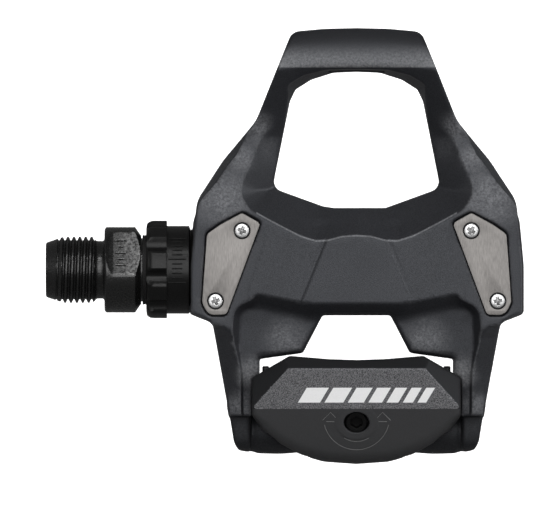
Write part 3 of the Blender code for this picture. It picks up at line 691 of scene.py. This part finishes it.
def make_lock_bolt():
    low, high = 21.6, 26.05
    wall = BODY_X - BODY_HALF - 0.3

    def nosed(x):
        nose = min(1.0, (x - low) / 1.7)
        top = 9.35 + (LOBE_CREST - 9.35) * math.sqrt(max(0.0, 1 - (1 - nose) ** 2))
        return np.minimum(lobe_radius(LOBE_CREST), top)

    stations = [(low, 8.65), (low, 8.9), (low + 0.03, 9.15)]
    stations += stations_along(low + 0.1, high, 0.15, nosed)
    stations += [(high - 0.03, lobe_radius(LOBE_CREST - 0.06)), (high, lobe_radius(LOBE_CREST - 0.2)),
                 (high, SLEEVE_R), (high + 0.6, SLEEVE_R), (wall - 0.15, SLEEVE_R), (wall, 9.3),
                 (wall, 9.1)]
    stations += stations_along(wall + 0.2, 38.0, 0.16, lambda x: thread_radius(x, 9.08, 1.0, 0.5))
    stations += [(38, 8.6), (38, 7.1), (24.5, 7.1), (24.5, 8.6), (low + 0.1, 8.6)]
    return spun("fine_lock_bolt", stations, SPIN_SIDES, 35, closed=True)


def make_lock_ticks():
    """Raised tick marks round the lock bolt's sleeve, every fifth one long."""
    pieces = []
    for k in range(11):
        turn = math.radians(-17 + 6.2 * k)
        reach = 1.9 if k % 5 == 0 else 1.1
        y, z = SLEEVE_R * math.sin(turn), SLEEVE_R * math.cos(turn)
        path = [Vector((28.3 + reach * (share / 2 - 1), y, z)) * MM for share in range(5)]
        pieces.append(tube("tick", path, 0.17 * MM, 6))
    return join_pieces("lock_ticks", pieces)


def make_flat_ticks():
    """Raised marks on the wrench flat, as a forging has, in place of any lettering."""
    pieces = []
    for k in range(5):
        along = 3.2 - 1.5 * k
        y = FLATS_HALF * math.sin(FLATS_TURN) + along * math.cos(FLATS_TURN)
        z = FLATS_HALF * math.cos(FLATS_TURN) - along * math.sin(FLATS_TURN)
        reach = 1.15 if k % 2 == 0 else 0.6
        path = [Vector((16.2 + reach * (share - 1), y, z)) * MM for share in range(3)]
        pieces.append(tube("tick", path, 0.32 * MM))
    return join_pieces("flat_ticks", pieces)


def chamfered(low, high, outer, inner, bevel=0.3):
    """Section of a plain ring whose edges are all broken by a small bevel."""
    return ((low, inner + bevel), (low, outer - bevel), (low + bevel, outer),
            (high - bevel, outer), (high, outer - bevel), (high, inner + bevel),
            (high - bevel, inner), (low + bevel, inner))


def make_seal():
    """The rubber seal: a lip against the collar, and a body that fills the lock bolt's mouth."""
    return ring("fine_seal", ((20.8, 6.95), (20.8, 7.35), (20.95, 7.5), (21.3, 7.42), (21.6, 7.5),
                              (21.78, 7.6), (21.78, 8.2), (21.9, 8.3), (24.1, 8.3), (24.2, 8.2),
                              (24.2, 6.95), (24.1, 6.85), (22.6, 6.85), (22.3, 7.1), (22.0, 6.85),
                              (20.9, 6.85)))


def make_bearing_tube():
    """The steel tube, with a hollow cup for the balls at each end."""
    low, high = 77.5, 92.5
    angles = [k * math.pi / 12 for k in range(7)]
    cup = [(3.2 + 0.9 * math.sin(angle), 4.6 + 2.15 * math.cos(angle)) for angle in angles]
    section = [(low, 7.7), (low + 0.3, 8.0), (high - 0.3, 8.0), (high, 7.7), (high, 6.75)]
    section += [(high - deep, radius) for deep, radius in cup]
    section += [(low + deep, radius) for deep, radius in reversed(cup)]
    return ring("fine_bearing_tube", [*section, (low, 6.75)])


def make_cone(name, x_wide, x_shoulder, x_nose):
    """A cone whose flank is hollowed to cradle the balls."""
    wide, nose, bore = 4.7, 3.5, 3.0
    flank = []
    for k in range(7):
        share = k / 6
        sag = 0.28 * math.sin(math.pi * share)
        flank.append((x_shoulder + (x_nose - x_shoulder) * share, wide + (nose - wide) * share - sag))
    return ring(name, [(x_wide, wide), *flank, (x_nose, nose - 0.1), (x_nose, bore), (x_wide, bore)])


def make_balls():
    """Ground steel balls that stand for the coarse ones in both rows."""
    for row in ("inner", "outer"):
        for k in range(1, 13):
            node = f"{row}_ball_{k:02d}"
            low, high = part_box(node)
            work = bmesh.new()
            bmesh.ops.create_icosphere(work, subdivisions=4, radius=(high.x - low.x) / 2,
                                       matrix=Matrix.Translation((low + high) / 2))
            ball = settled("fine_" + node, bpy.data.meshes.new("fine_" + node), work)
            finish_piece(ball, row + "_ball_row", "bearing_steel", node)


# ------- plates and fasteners
def curve_piece(name, outlines, low, high, bevel):
    """A flat plate with holes, from outlines in millimetres, its edges rounded."""
    curve = bpy.data.curves.new(name, "CURVE")
    curve.dimensions = "2D"
    curve.fill_mode = "BOTH"
    curve.extrude = ((high - low) / 2 - bevel) * MM
    curve.bevel_depth = bevel * MM
    curve.bevel_resolution = 3
    curve.offset = -bevel * MM
    for outline in outlines:
        spline = curve.splines.new("POLY")
        spline.use_cyclic_u = True
        spline.points.add(len(outline) - 1)
        for point, place in zip(spline.points, outline):
            point.co = (place[0] * MM, place[1] * MM, 0, 1)
    item = linked(name, curve)
    evaluated = item.evaluated_get(bpy.context.evaluated_depsgraph_get())
    mesh = bpy.data.meshes.new_from_object(evaluated)
    bpy.data.objects.remove(item)
    mesh.transform(Matrix.Translation(Vector((BODY_X, 0, (low + high) / 2)) * MM))
    work = bmesh.new()
    work.from_mesh(mesh)
    bmesh.ops.remove_doubles(work, verts=work.verts, dist=0.002 * MM)
    return settled(name, mesh, work, 12)


def make_plate(side, name):
    outlines = [plate_outline(side, 0)]
    for a, b in PLATE_SCREWS:
        circle = arc((side * a, b), 1.78, 0, 360, 48)[:-1]
        outlines.append([Vector(place) for place in circle])
    return curve_piece(name, outlines, PLATE_BASE, PLATE_TOP, 0.14)


def make_screw_mesh():
    """A pan-head screw with a cross recess, its head's top at height zero."""
    head_r, head_low = 1.55, -0.95
    shank_r, foot = 0.88, -2.85
    recess = 1.35
    block = Block((-1.7, -1.7, -2.95), (1.65, 1.65, 0.2), 0.05)
    x, y, z = block.x, block.y, block.z
    radius = np.hypot(x, y)
    dome = z + 0.09 * radius ** 2
    head = meet(radius - head_r, np.maximum(dome, head_low - z), 0.14)
    shank = overlap(radius - shank_r, foot - z, z + 0.5)
    field = np.minimum(head, shank)
    depth = np.clip(-z / recess, 0, 1)
    for turn in (0.5, 0.5 + math.pi / 2):
        along = x * math.cos(turn) + y * math.sin(turn)
        across = y * math.cos(turn) - x * math.sin(turn)
        wing = overlap(np.abs(across) - 0.33 + 0.3 * depth ** 2, np.abs(along) - 1.0 + 0.98 * depth,
                       -recess - z)
        field = cut(field, wing, 0.05)
    item = block.mesh("screw", field)
    mesh = item.data
    bpy.data.objects.remove(item)
    return mesh


def make_plate_screws():
    mesh = make_screw_mesh()
    places = [(side * a, b) for side in (-1, 1) for a, b in PLATE_SCREWS]
    for number, (across, along) in enumerate(places, 1):
        place = Matrix.Translation(Vector((BODY_X + across, along, PLATFORM + 0.15)) * MM)
        screw = linked(f"fine_screw_{number}", mesh.copy())
        screw.data.transform(place @ Matrix.Rotation(0.7 * number, 4, "Z"))
        finish_piece(screw, "pedal_body", "screw_steel", f"plate_screw_{number}")


def bolt_head_top():
    """Height of the tension bolt's head above the pin, along the bolt."""
    foot = BOLT_FOOT - PIN
    nearest = BOLT_TOP - 2.3 * math.sin(BOLT_TILT)
    across = math.hypot(foot.y, foot.z)
    return (nearest - PIN.z - across * math.sin(BOLT_TILT)) / math.cos(BOLT_TILT)


def make_tension_bolt():
    """Socket-head bolt: a turned body with its thread, and a hex socket in the head."""
    head_r, head_high, shank_r, pitch = 2.28, 2.4, 1.9, 0.7
    socket_half, socket_deep = 1.25, 1.6
    across, reach = pin_frame(BOLT_Y, BOLT_TOP)
    top = bolt_head_top()
    block = Block((-2.6, -2.6, -3.5), (2.575, 2.575, reach + 0.3), 0.075)
    x, y, z = block.x, block.y, block.z
    radius = np.hypot(x, y)
    phase = (z / pitch - np.arctan2(y, x) / (2 * np.pi)) % 1.0
    flank = 0.3 * np.abs(2 * phase - 1) * (z < top - 4.4)
    shank = overlap(radius - shank_r + flank, -3.25 - z, z - top + 1.0)
    head = meet(radius - head_r, np.maximum(z - top, top - head_high - z), 0.2)
    socket = top - socket_deep - z
    for turn in (0, math.pi / 3, 2 * math.pi / 3):
        socket = np.maximum(socket, np.abs(x * math.cos(turn) + y * math.sin(turn)) - socket_half)
    bolt = block.mesh("fine_tension_bolt", cut(np.minimum(head, shank), socket, 0.06))
    bolt.data.transform(Matrix.Translation(Vector((BODY_X, PIN.y, PIN.z)) * MM)
                        @ Matrix.Rotation(BOLT_TILT, 4, "X")
                        @ Matrix.Translation(Vector((0, across, 0)) * MM))
    return bolt


def make_pin():
    """The hinge pin, with a centre mark and a chamfer at each end."""
    end = ((25.0, 0.01), (25.0, 0.6), (24.75, 0.9), (25.0, 1.2), (25.0, 2.1), (24.65, 2.46))
    stations = [(BODY_X - x, radius) for x, radius in end]
    stations += [(BODY_X + x, radius) for x, radius in reversed(end)]
    place = Matrix.Translation(Vector((0, PIN.y, PIN.z)) * MM)
    return spun("fine_pin", stations, 64, place=place)


def spring_path():
    """Centre lines of a torsion spring: tang in the knuckle and coil on the pin, then the leg."""
    turns, per_turn = 2.5, 48
    pitch = 1.9
    places = [(TANG_X + 2.6, 0, -COIL_R), (TANG_X + 1.6, 0, -COIL_R), (TANG_X + 0.9, -0.02, -COIL_R),
              (TANG_X + 0.5, -0.12, -COIL_R)]
    for k in range(1, int(turns * per_turn) + 1):
        x = TANG_X - k / per_turn * pitch
        angle = -math.pi / 2 - 2 * math.pi * k / per_turn
        places.append((x, COIL_R * math.cos(angle), COIL_R * math.sin(angle)))
    leg = [(x, 0.5 * k, COIL_R) for k in range(17)]
    return places, leg


def on_pin(side, places):
    """Points in metres from places about the hinge pin, turned with the tension bolt."""
    turn = Matrix.Rotation(BOLT_TILT, 3, "X")
    middle = Vector((BODY_X, PIN.y, PIN.z))
    return [(middle + turn @ Vector((side * x, y, z))) * MM for x, y, z in places]


def make_spring(side, name):
    """A torsion spring's coil round the pin and its leg, as two wire tubes."""
    coil_places, leg_places = spring_path()
    coarse = "left_torsion_spring" if side < 0 else "right_torsion_spring"
    leg_path = on_pin(side, leg_places)
    coil = tube(name, on_pin(side, coil_places), WIRE_R * MM, 16)
    leg = tube(name + "_leg", leg_path, WIRE_R * MM, 16)
    for piece in (coil, leg):
        dress(piece, materials["spring_steel"])
        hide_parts(coarse)
    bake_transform(coil)
    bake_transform(leg)


# ------- materials
class Look:
    """A Principled material and the nodes that vary it; places and sizes are in millimetres."""

    def __init__(self, name, colour, roughness, metallic=0.0):
        self.name = name
        self.material = bpy.data.materials.new(name)
        self.material.use_nodes = True
        self.tree = self.material.node_tree
        self.inputs = self.tree.nodes["Principled BSDF"].inputs
        self.inputs["Base Color"].default_value = (*colour, 1)
        self.inputs["Roughness"].default_value = roughness
        self.inputs["Metallic"].default_value = metallic
        self.coords = self.node("TexCoord").outputs

    def feed(self, socket, value):
        """Gives a socket its value, or links it to another socket."""
        if isinstance(value, bpy.types.NodeSocket):
            self.tree.links.new(socket, value)
        else:
            socket.default_value = value

    def node(self, kind, **values):
        """A node whose settings and inputs are given by name."""
        node = self.tree.nodes.new("ShaderNode" + kind)
        for key, value in values.items():
            if hasattr(node, key):
                setattr(node, key, value)
            else:
                self.feed(node.inputs[key.replace("_", " ")], value)
        return node

    def math(self, operation, *terms, kind="Math"):
        """The result of a sum on numbers and sockets."""
        node = self.node(kind, operation=operation)
        for socket, term in zip(node.inputs, terms):
            self.feed(socket, term)
        return node.outputs["Value"]

    def product(self, first, *others):
        for factor in others:
            first = self.math("MULTIPLY", first, factor)
        return first

    def above(self, value, limit):
        return self.math("GREATER_THAN", value, limit)

    def below(self, value, limit):
        return self.math("LESS_THAN", value, limit)

    def ramp(self, value, start, end, low=0.0, high=1.0, way="LINEAR"):
        """A value carried from one range to another, and held at both ends."""
        return self.node("MapRange", interpolation_type=way, Value=value, From_Min=start,
                         From_Max=end, To_Min=low, To_Max=high).outputs["Result"]

    def ease(self, value, start, end):
        """Zero at a start and one at an end, eased between."""
        return self.ramp(value, start, end, way="SMOOTHSTEP")

    def place(self, axis):
        """A surface point's place along an axis."""
        split = self.node("SeparateXYZ", Vector=self.coords["Object"])
        return self.math("DIVIDE", split.outputs[axis], MM)

    def facing(self, axis):
        """How far the surface faces along an axis."""
        return self.node("SeparateXYZ", Vector=self.coords["Normal"]).outputs[axis]

    def noise(self, size, detail=4.0, roughness=0.75, at=None):
        return self.node("TexNoise", Vector=at or self.coords["Object"], Scale=1 / (size * MM),
                         Detail=detail, Roughness=roughness).outputs["Fac"]

    def tones(self, value, dark, light, low=0.3, high=0.7):
        """A colour that goes from a dark tone to a light one as a value climbs."""
        ramp = self.node("ValToRGB", Fac=value)
        for element, position, colour in zip(ramp.color_ramp.elements, (low, high), (dark, light)):
            element.position = position
            element.color = (*colour, 1)
        return ramp.outputs["Color"]

    def speckle(self, size, dark, light, low=0.3, high=0.72):
        return self.tones(self.noise(size), dark, light, low, high)

    def overlay(self, mask, colour):
        """Another colour laid over the base colour where the mask is one."""
        base = self.inputs["Base Color"]
        mix = self.node("Mix", data_type="RGBA", Factor=mask)
        self.feed(mix.inputs[6], base.links[0].from_socket)
        self.feed(mix.inputs[7], colour)
        self.feed(base, mix.outputs[2])

    def relief(self, height, strength, depth):
        """Fine relief, on top of any that the surface has already."""
        normal = self.inputs["Normal"]
        bump = self.node("Bump", Height=height, Strength=strength, Distance=depth * MM)
        if normal.is_linked:
            self.feed(bump.inputs["Normal"], normal.links[0].from_socket)
        self.feed(normal, bump.outputs["Normal"])

    def near(self, places):
        """One at each place (half width, Y, Z, radius) on both sides, fading out to its radius."""
        mask = 0.0
        for half, y, z, radius in places:
            for side in (-1, 1):
                centre = Vector((BODY_X + side * half, y, z)) * MM
                gap = self.math("DISTANCE", self.coords["Object"], centre, kind="VectorMath")
                mask = self.math("MAXIMUM", mask, self.ease(gap, radius * MM, 0.0))
        return mask


def surface(name, colour, roughness, metallic=0.0, grain=0.25, contrast=0.25, bump=0.3,
            stretch=(1, 1, 1), rough_spread=0.08, specular=0.5, blotch=0.1, depth=0.03,
            tint=(1, 1, 1)):
    """A look with fine grain in colour, roughness and relief."""
    look = Look(name, colour, roughness, metallic)
    look.inputs["Specular IOR Level"].default_value = specular
    look.inputs["Specular Tint"].default_value = (*tint, 1)
    mapping = look.node("Mapping", Vector=look.coords["Object"], Scale=stretch)
    fine = look.noise(grain, 3.0, 0.6, mapping.outputs["Vector"])
    broad = look.product(look.noise(9, 2.0, 0.5), blotch)
    mixed = look.math("MULTIPLY_ADD", fine, 1 - blotch, broad)
    dark = [c * (1 - contrast) for c in colour]
    light = [min(1.0, c * (1 + contrast)) for c in colour]
    look.feed(look.inputs["Base Color"], look.tones(mixed, dark, light, 0.3, 0.72))
    look.feed(look.inputs["Roughness"],
              look.ramp(mixed, 0.3, 0.7, roughness + rough_spread, roughness - rough_spread))
    look.relief(fine, bump, depth)
    return look


def rim_highlight_line(look, y, z):
    """One along the thin rim between the platform and the funnel, where a painted highlight line
    goes.
    """
    half = look.math("ABSOLUTE", look.math("SUBTRACT", look.place("X"), BODY_X))
    curve = look.node("FloatCurve", Value=look.math("DIVIDE", half, RIM_HALF))
    points = curve.mapping.curves[0].points
    while len(points) < len(RIM_HIGHLIGHT_LINE):
        points.new(0.5, 0.5)
    for point, (across, along) in zip(points, RIM_HIGHLIGHT_LINE):
        point.location = (across / RIM_HALF, along / RIM_REACH)
        point.handle_type = "VECTOR"
    curve.mapping.update()
    gap = look.math("SUBTRACT", y, look.product(curve.outputs["Value"], RIM_REACH))
    line = look.ease(look.math("ABSOLUTE", gap), 0.3, 0.05)
    return look.product(line, look.below(half, RIM_HALF - 0.5), look.above(z, 9.0))


def body_surface():
    """Dark grey resin with a fine moulded texture; paler patches on its high places and edges, partly
    wear and partly painted highlight; painted highlights on the nose's crease, the rim and the shelf
    corner, and painted shade on the nose's tip.
    """
    look = surface("grey_resin", (0.016, 0.0165, 0.019), 0.5, grain=0.22, contrast=0.7,
                   bump=0.5, depth=0.05, tint=COOL)
    y = look.place("Y")
    z = look.place("Z")
    level = look.ramp(look.facing("Z"), 0.7, 0.85)
    # Paler on up-facing high places: partly wear, partly painted highlight where the light falls on
    # them
    rubbed_and_sheen = look.product(look.near(RUBBED_AND_SHEEN), level, look.noise(2.5))
    look.overlay(rubbed_and_sheen, look.speckle(0.5, (0.03, 0.031, 0.034), (0.3, 0.303, 0.318)))
    high = look.ease(z, 9.0, 12.5)
    # Painted shade: the toe bar's nose darkens towards its front edge, where it turns away from the
    # light
    nose_painted_shade = look.product(look.ease(y, CREASE_Y + 1.0, 50.5), high, 0.85)
    look.overlay(nose_painted_shade, look.speckle(0.4, (0.001, 0.001, 0.0015), (0.005, 0.005, 0.006), high=0.7))
    # Painted highlight: a pale band on the nose just ahead of the toe bar's crease, fading towards
    # the tip
    highlight_tone = look.speckle(0.5, (0.05, 0.051, 0.054), (0.23, 0.233, 0.242))
    brow = look.product(look.ease(y, CREASE_Y + 5.0, CREASE_Y + 0.4),
                        look.above(y, CREASE_Y - 0.3), high, 0.8)
    look.overlay(brow, highlight_tone)
    # Sharp edges in the rear half made paler: partly edge wear, partly painted highlight where
    # rounded edges would catch the light
    wear_and_highlight_tone = look.speckle(0.4, (0.05, 0.051, 0.054), (0.22, 0.223, 0.235), high=0.7)
    edge = look.ramp(look.node("NewGeometry").outputs["Pointiness"], 0.522, 0.565)
    look.overlay(look.product(edge, look.below(y, 5.0), 0.45), wear_and_highlight_tone)
    # Painted highlight: a thin pale line along the rim's crest
    look.overlay(look.product(rim_highlight_line(look, y, z), 0.85), wear_and_highlight_tone)
    # Painted highlight at the shelf's corner
    look.overlay(look.near([SHELF_CORNER_HIGHLIGHT]), highlight_tone)
    return look


def claw_surface():
    """Satin black resin, with a coarse spark-eroded texture on the slanted facet only, and a painted
    sheen on the lens behind it that is paler where the lens faces up.
    """
    look = surface("claw_resin", (0.009, 0.009, 0.0095), 0.5, grain=0.22, contrast=0.15,
                   bump=0.15, rough_spread=0.04, specular=0.33, tint=COOL)
    y = look.place("Y")
    up = look.facing("Z")
    front_y = FACET_FRONT[0] + 0.05
    rear_y = FACET_REAR[0] - 0.05
    facet = look.product(look.above(y, rear_y), look.below(y, front_y), look.above(up, 0.82),
                         look.above(look.place("Z"), FACET_REAR[1] - 0.3))
    # Painted sheen: the lens is made paler where it faces up, where the light falls on it
    lens = look.product(look.below(y, rear_y), look.ramp(up, 0.3, 0.72))
    grain = look.noise(0.22)
    look.overlay(lens, look.tones(grain, (0.036, 0.036, 0.037), (0.05, 0.05, 0.052)))
    look.overlay(facet, look.tones(grain, (0.028, 0.028, 0.03), (0.25, 0.25, 0.26), 0.4, 0.62))
    look.relief(look.product(facet, grain), 0.6, 0.1)
    return look


def spindle_surface():
    """Black steel, turned, with the wrench flats left rough by the forging and a painted highlight on
    them that grows towards the pedal body.
    """
    look = surface("black_steel", (0.006, 0.006, 0.006), 0.28, grain=0.5, contrast=0.5,
                   bump=0.5, specular=0.6, rough_spread=0.12, depth=0.07)
    flats_way = Vector((0, math.sin(FLATS_TURN), math.cos(FLATS_TURN)))
    facing = look.math("DOT_PRODUCT", look.coords["Normal"], flats_way, kind="VectorMath")
    x = look.place("X")
    # The flats: forged speckle, plus a painted highlight that brightens towards the pedal body
    forged_and_sheen = look.product(look.above(look.math("ABSOLUTE", facing), 0.97), look.above(x, 12.7),
                          look.below(x, 20.4), look.ease(x, 13.0, 20.5))
    look.overlay(forged_and_sheen, look.speckle(0.7, (0.008, 0.008, 0.008), (0.3, 0.3, 0.3), 0.42, 0.68))
    return look


def make_materials():
    looks = (
        body_surface(),
        # A darker copy of the body's resin: painted shade for the hinge lobes
        surface("shaded_heel_resin", (0.011, 0.0113, 0.0125), 0.55, grain=0.28, contrast=0.5,
                specular=0.25, tint=COOL),
        # Pale grey for the raised turn marks: a painted highlight on them
        surface("highlight_resin", (0.14, 0.14, 0.14), 0.5),
        claw_surface(),
        surface("black_resin", (0.005, 0.005, 0.005), 0.32, grain=0.2, contrast=0.2, bump=0.35,
                depth=0.05, specular=0.24),
        spindle_surface(),
        surface("bearing_steel", (0.55, 0.55, 0.56), 0.22, 1.0, contrast=0.06, bump=0.05,
                stretch=(4, 1, 1)),
        surface("screw_steel", (0.6, 0.6, 0.6), 0.34, 1.0, contrast=0.06, bump=0.05),
        surface("brushed_steel", (0.165, 0.157, 0.151), 0.42, 1.0, grain=0.2, contrast=0.12,
                bump=0.06, stretch=(1, 0.12, 1), blotch=0.3),
        surface("bolt_black", (0.004, 0.004, 0.004), 0.5, specular=0.15),
        surface("spring_steel", (0.3, 0.3, 0.31), 0.35, 1.0, contrast=0.15),
        surface("rubber", (0.004, 0.004, 0.004), 0.75, contrast=0.2),
        surface("bush_resin", (0.4, 0.38, 0.32), 0.5, contrast=0.08),
        surface("white_ink", (0.97, 0.97, 0.98), 0.45, grain=0.3, contrast=0.04),
    )
    return {look.name: look.material for look in looks}


def dress(piece, material):
    piece.data.materials.clear()
    piece.data.materials.append(material)


def shade_heel(mesh):
    """Painted shade: the hinge lobes behind the arms get a plainer, darker copy of the resin, as
    though in shadow.
    """
    mesh.materials.append(materials["shaded_heel_resin"])
    centres = np.empty(len(mesh.polygons) * 3)
    mesh.polygons.foreach_get("center", centres)
    behind = centres.reshape(-1, 3)[:, 1] < HEEL_SHADE_Y * MM
    mesh.polygons.foreach_set("material_index", behind.astype(np.int32))


def finish_piece(piece, body, slot, *nodes, material=None):
    """Material, body and the CAD nodes that a piece stands for; the slot names the material unless
    one is given.
    """
    dress(piece, materials[material or slot])
    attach(piece, body)
    if nodes:
        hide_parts(*nodes)


# ------- camera, light and floor
def make_camera():
    """Straight above the pedal, from far enough to flatten the perspective."""
    data = bpy.data.cameras.new("camera")
    data.lens = 1200
    data.sensor_width = 36
    data.clip_end = 100
    distance = VIEW_WIDTH * data.lens / data.sensor_width
    camera = linked("camera", data)
    camera.location = Vector((*VIEW_MIDDLE, distance + 2.0)) * MM
    bpy.context.scene.camera = camera


def area_light(name, place, size, power):
    """A rectangular lamp aimed at the pedal."""
    data = bpy.data.lights.new(name, "AREA")
    data.shape = "RECTANGLE"
    data.size, data.size_y = size
    data.energy = power
    lamp = linked(name, data)
    lamp.location = Vector(place)
    aim = Vector(LAMP_AIM) - lamp.location
    lamp.rotation_euler = aim.to_track_quat("-Z", "Y").to_euler()


def make_stage():
    bpy.ops.mesh.primitive_plane_add(size=20, location=(0, 0, BODY_LOW.z * MM - FLOOR_DROP))
    floor = bpy.context.object
    floor.name = "floor"
    paper = Look("floor", (0.93, 0.93, 0.93), 0.9)
    paper.inputs["Emission Color"].default_value = (1, 1, 1, 1)
    paper.inputs["Emission Strength"].default_value = FLOOR_GLOW
    dress(floor, paper.material)
    floor.visible_glossy = False
    for name, place, size, power in LAMPS:
        area_light(name, place, size, power)
    world = bpy.data.worlds.new("studio")
    world.use_nodes = True
    background = world.node_tree.nodes["Background"].inputs
    background["Color"].default_value = (1, 1, 1, 1)
    background["Strength"].default_value = WORLD_LIGHT
    bpy.context.scene.world = world
    bpy.context.scene.view_settings.view_transform = "Standard"


make_camera()
make_stage()
materials = make_materials()
body = make_body()
finish_piece(body, "pedal_body", "grey_resin", "body_frame")
shade_heel(body.data)
finish_piece(make_claw(), "rear_binding", "claw_resin", "binding_claw")
finish_piece(make_stripes(), "rear_binding", None, material="white_ink")
# The raised turn marks are painted pale, as a highlight
finish_piece(make_turn_marks(), "rear_binding", "claw_resin", material="highlight_resin")
finish_piece(make_spindle(), "spindle", "black_steel", "spindle")
finish_piece(make_lock_bolt(), "pedal_body", "black_resin", "lock_bolt")
finish_piece(make_lock_ticks(), "pedal_body", "black_resin")
finish_piece(make_flat_ticks(), "spindle", "black_steel")
finish_piece(make_seal(), "pedal_body", "rubber", "lip_seal")
finish_piece(ring("fine_bush", chamfered(39.0, 55.0, 8.0, 5.65)), "pedal_body", "bush_resin",
             "plain_bush")
finish_piece(make_bearing_tube(), "pedal_body", "bearing_steel", "bearing_tube")
finish_piece(make_cone("fine_inner_cone", 76.5, 76.8, 81.3), "spindle", "bearing_steel",
             "inner_cone")
finish_piece(make_cone("fine_adjusting_cone", 94.4, 93.2, 88.7), "spindle", "bearing_steel",
             "adjusting_cone")
finish_piece(ring("fine_lock_washer", chamfered(94.7, 95.3, 4.3, 3.0, 0.08)), "spindle",
             "bearing_steel", "lock_washer")
make_balls()
for side, plate in ((-1, "crank_side_plate"), (1, "outer_side_plate")):
    finish_piece(make_plate(side, "fine_" + plate), "pedal_body", "brushed_steel", plate)
make_plate_screws()
finish_piece(make_pin(), "pedal_body", "bearing_steel", "binding_pin")
make_spring(-1, "fine_left_spring")
make_spring(1, "fine_right_spring")
finish_piece(make_tension_bolt(), "tension_bolt_body", "black_steel", "tension_bolt",
             material="bolt_black")
for kept in ("nut_plate", "lock_nut"):
    dress(frame["nodes"][kept], materials["bearing_steel"])
    bevel = frame["nodes"][kept].modifiers.new("edges", "BEVEL")
    bevel.width = 0.2 * MM
    bevel.segments = 2
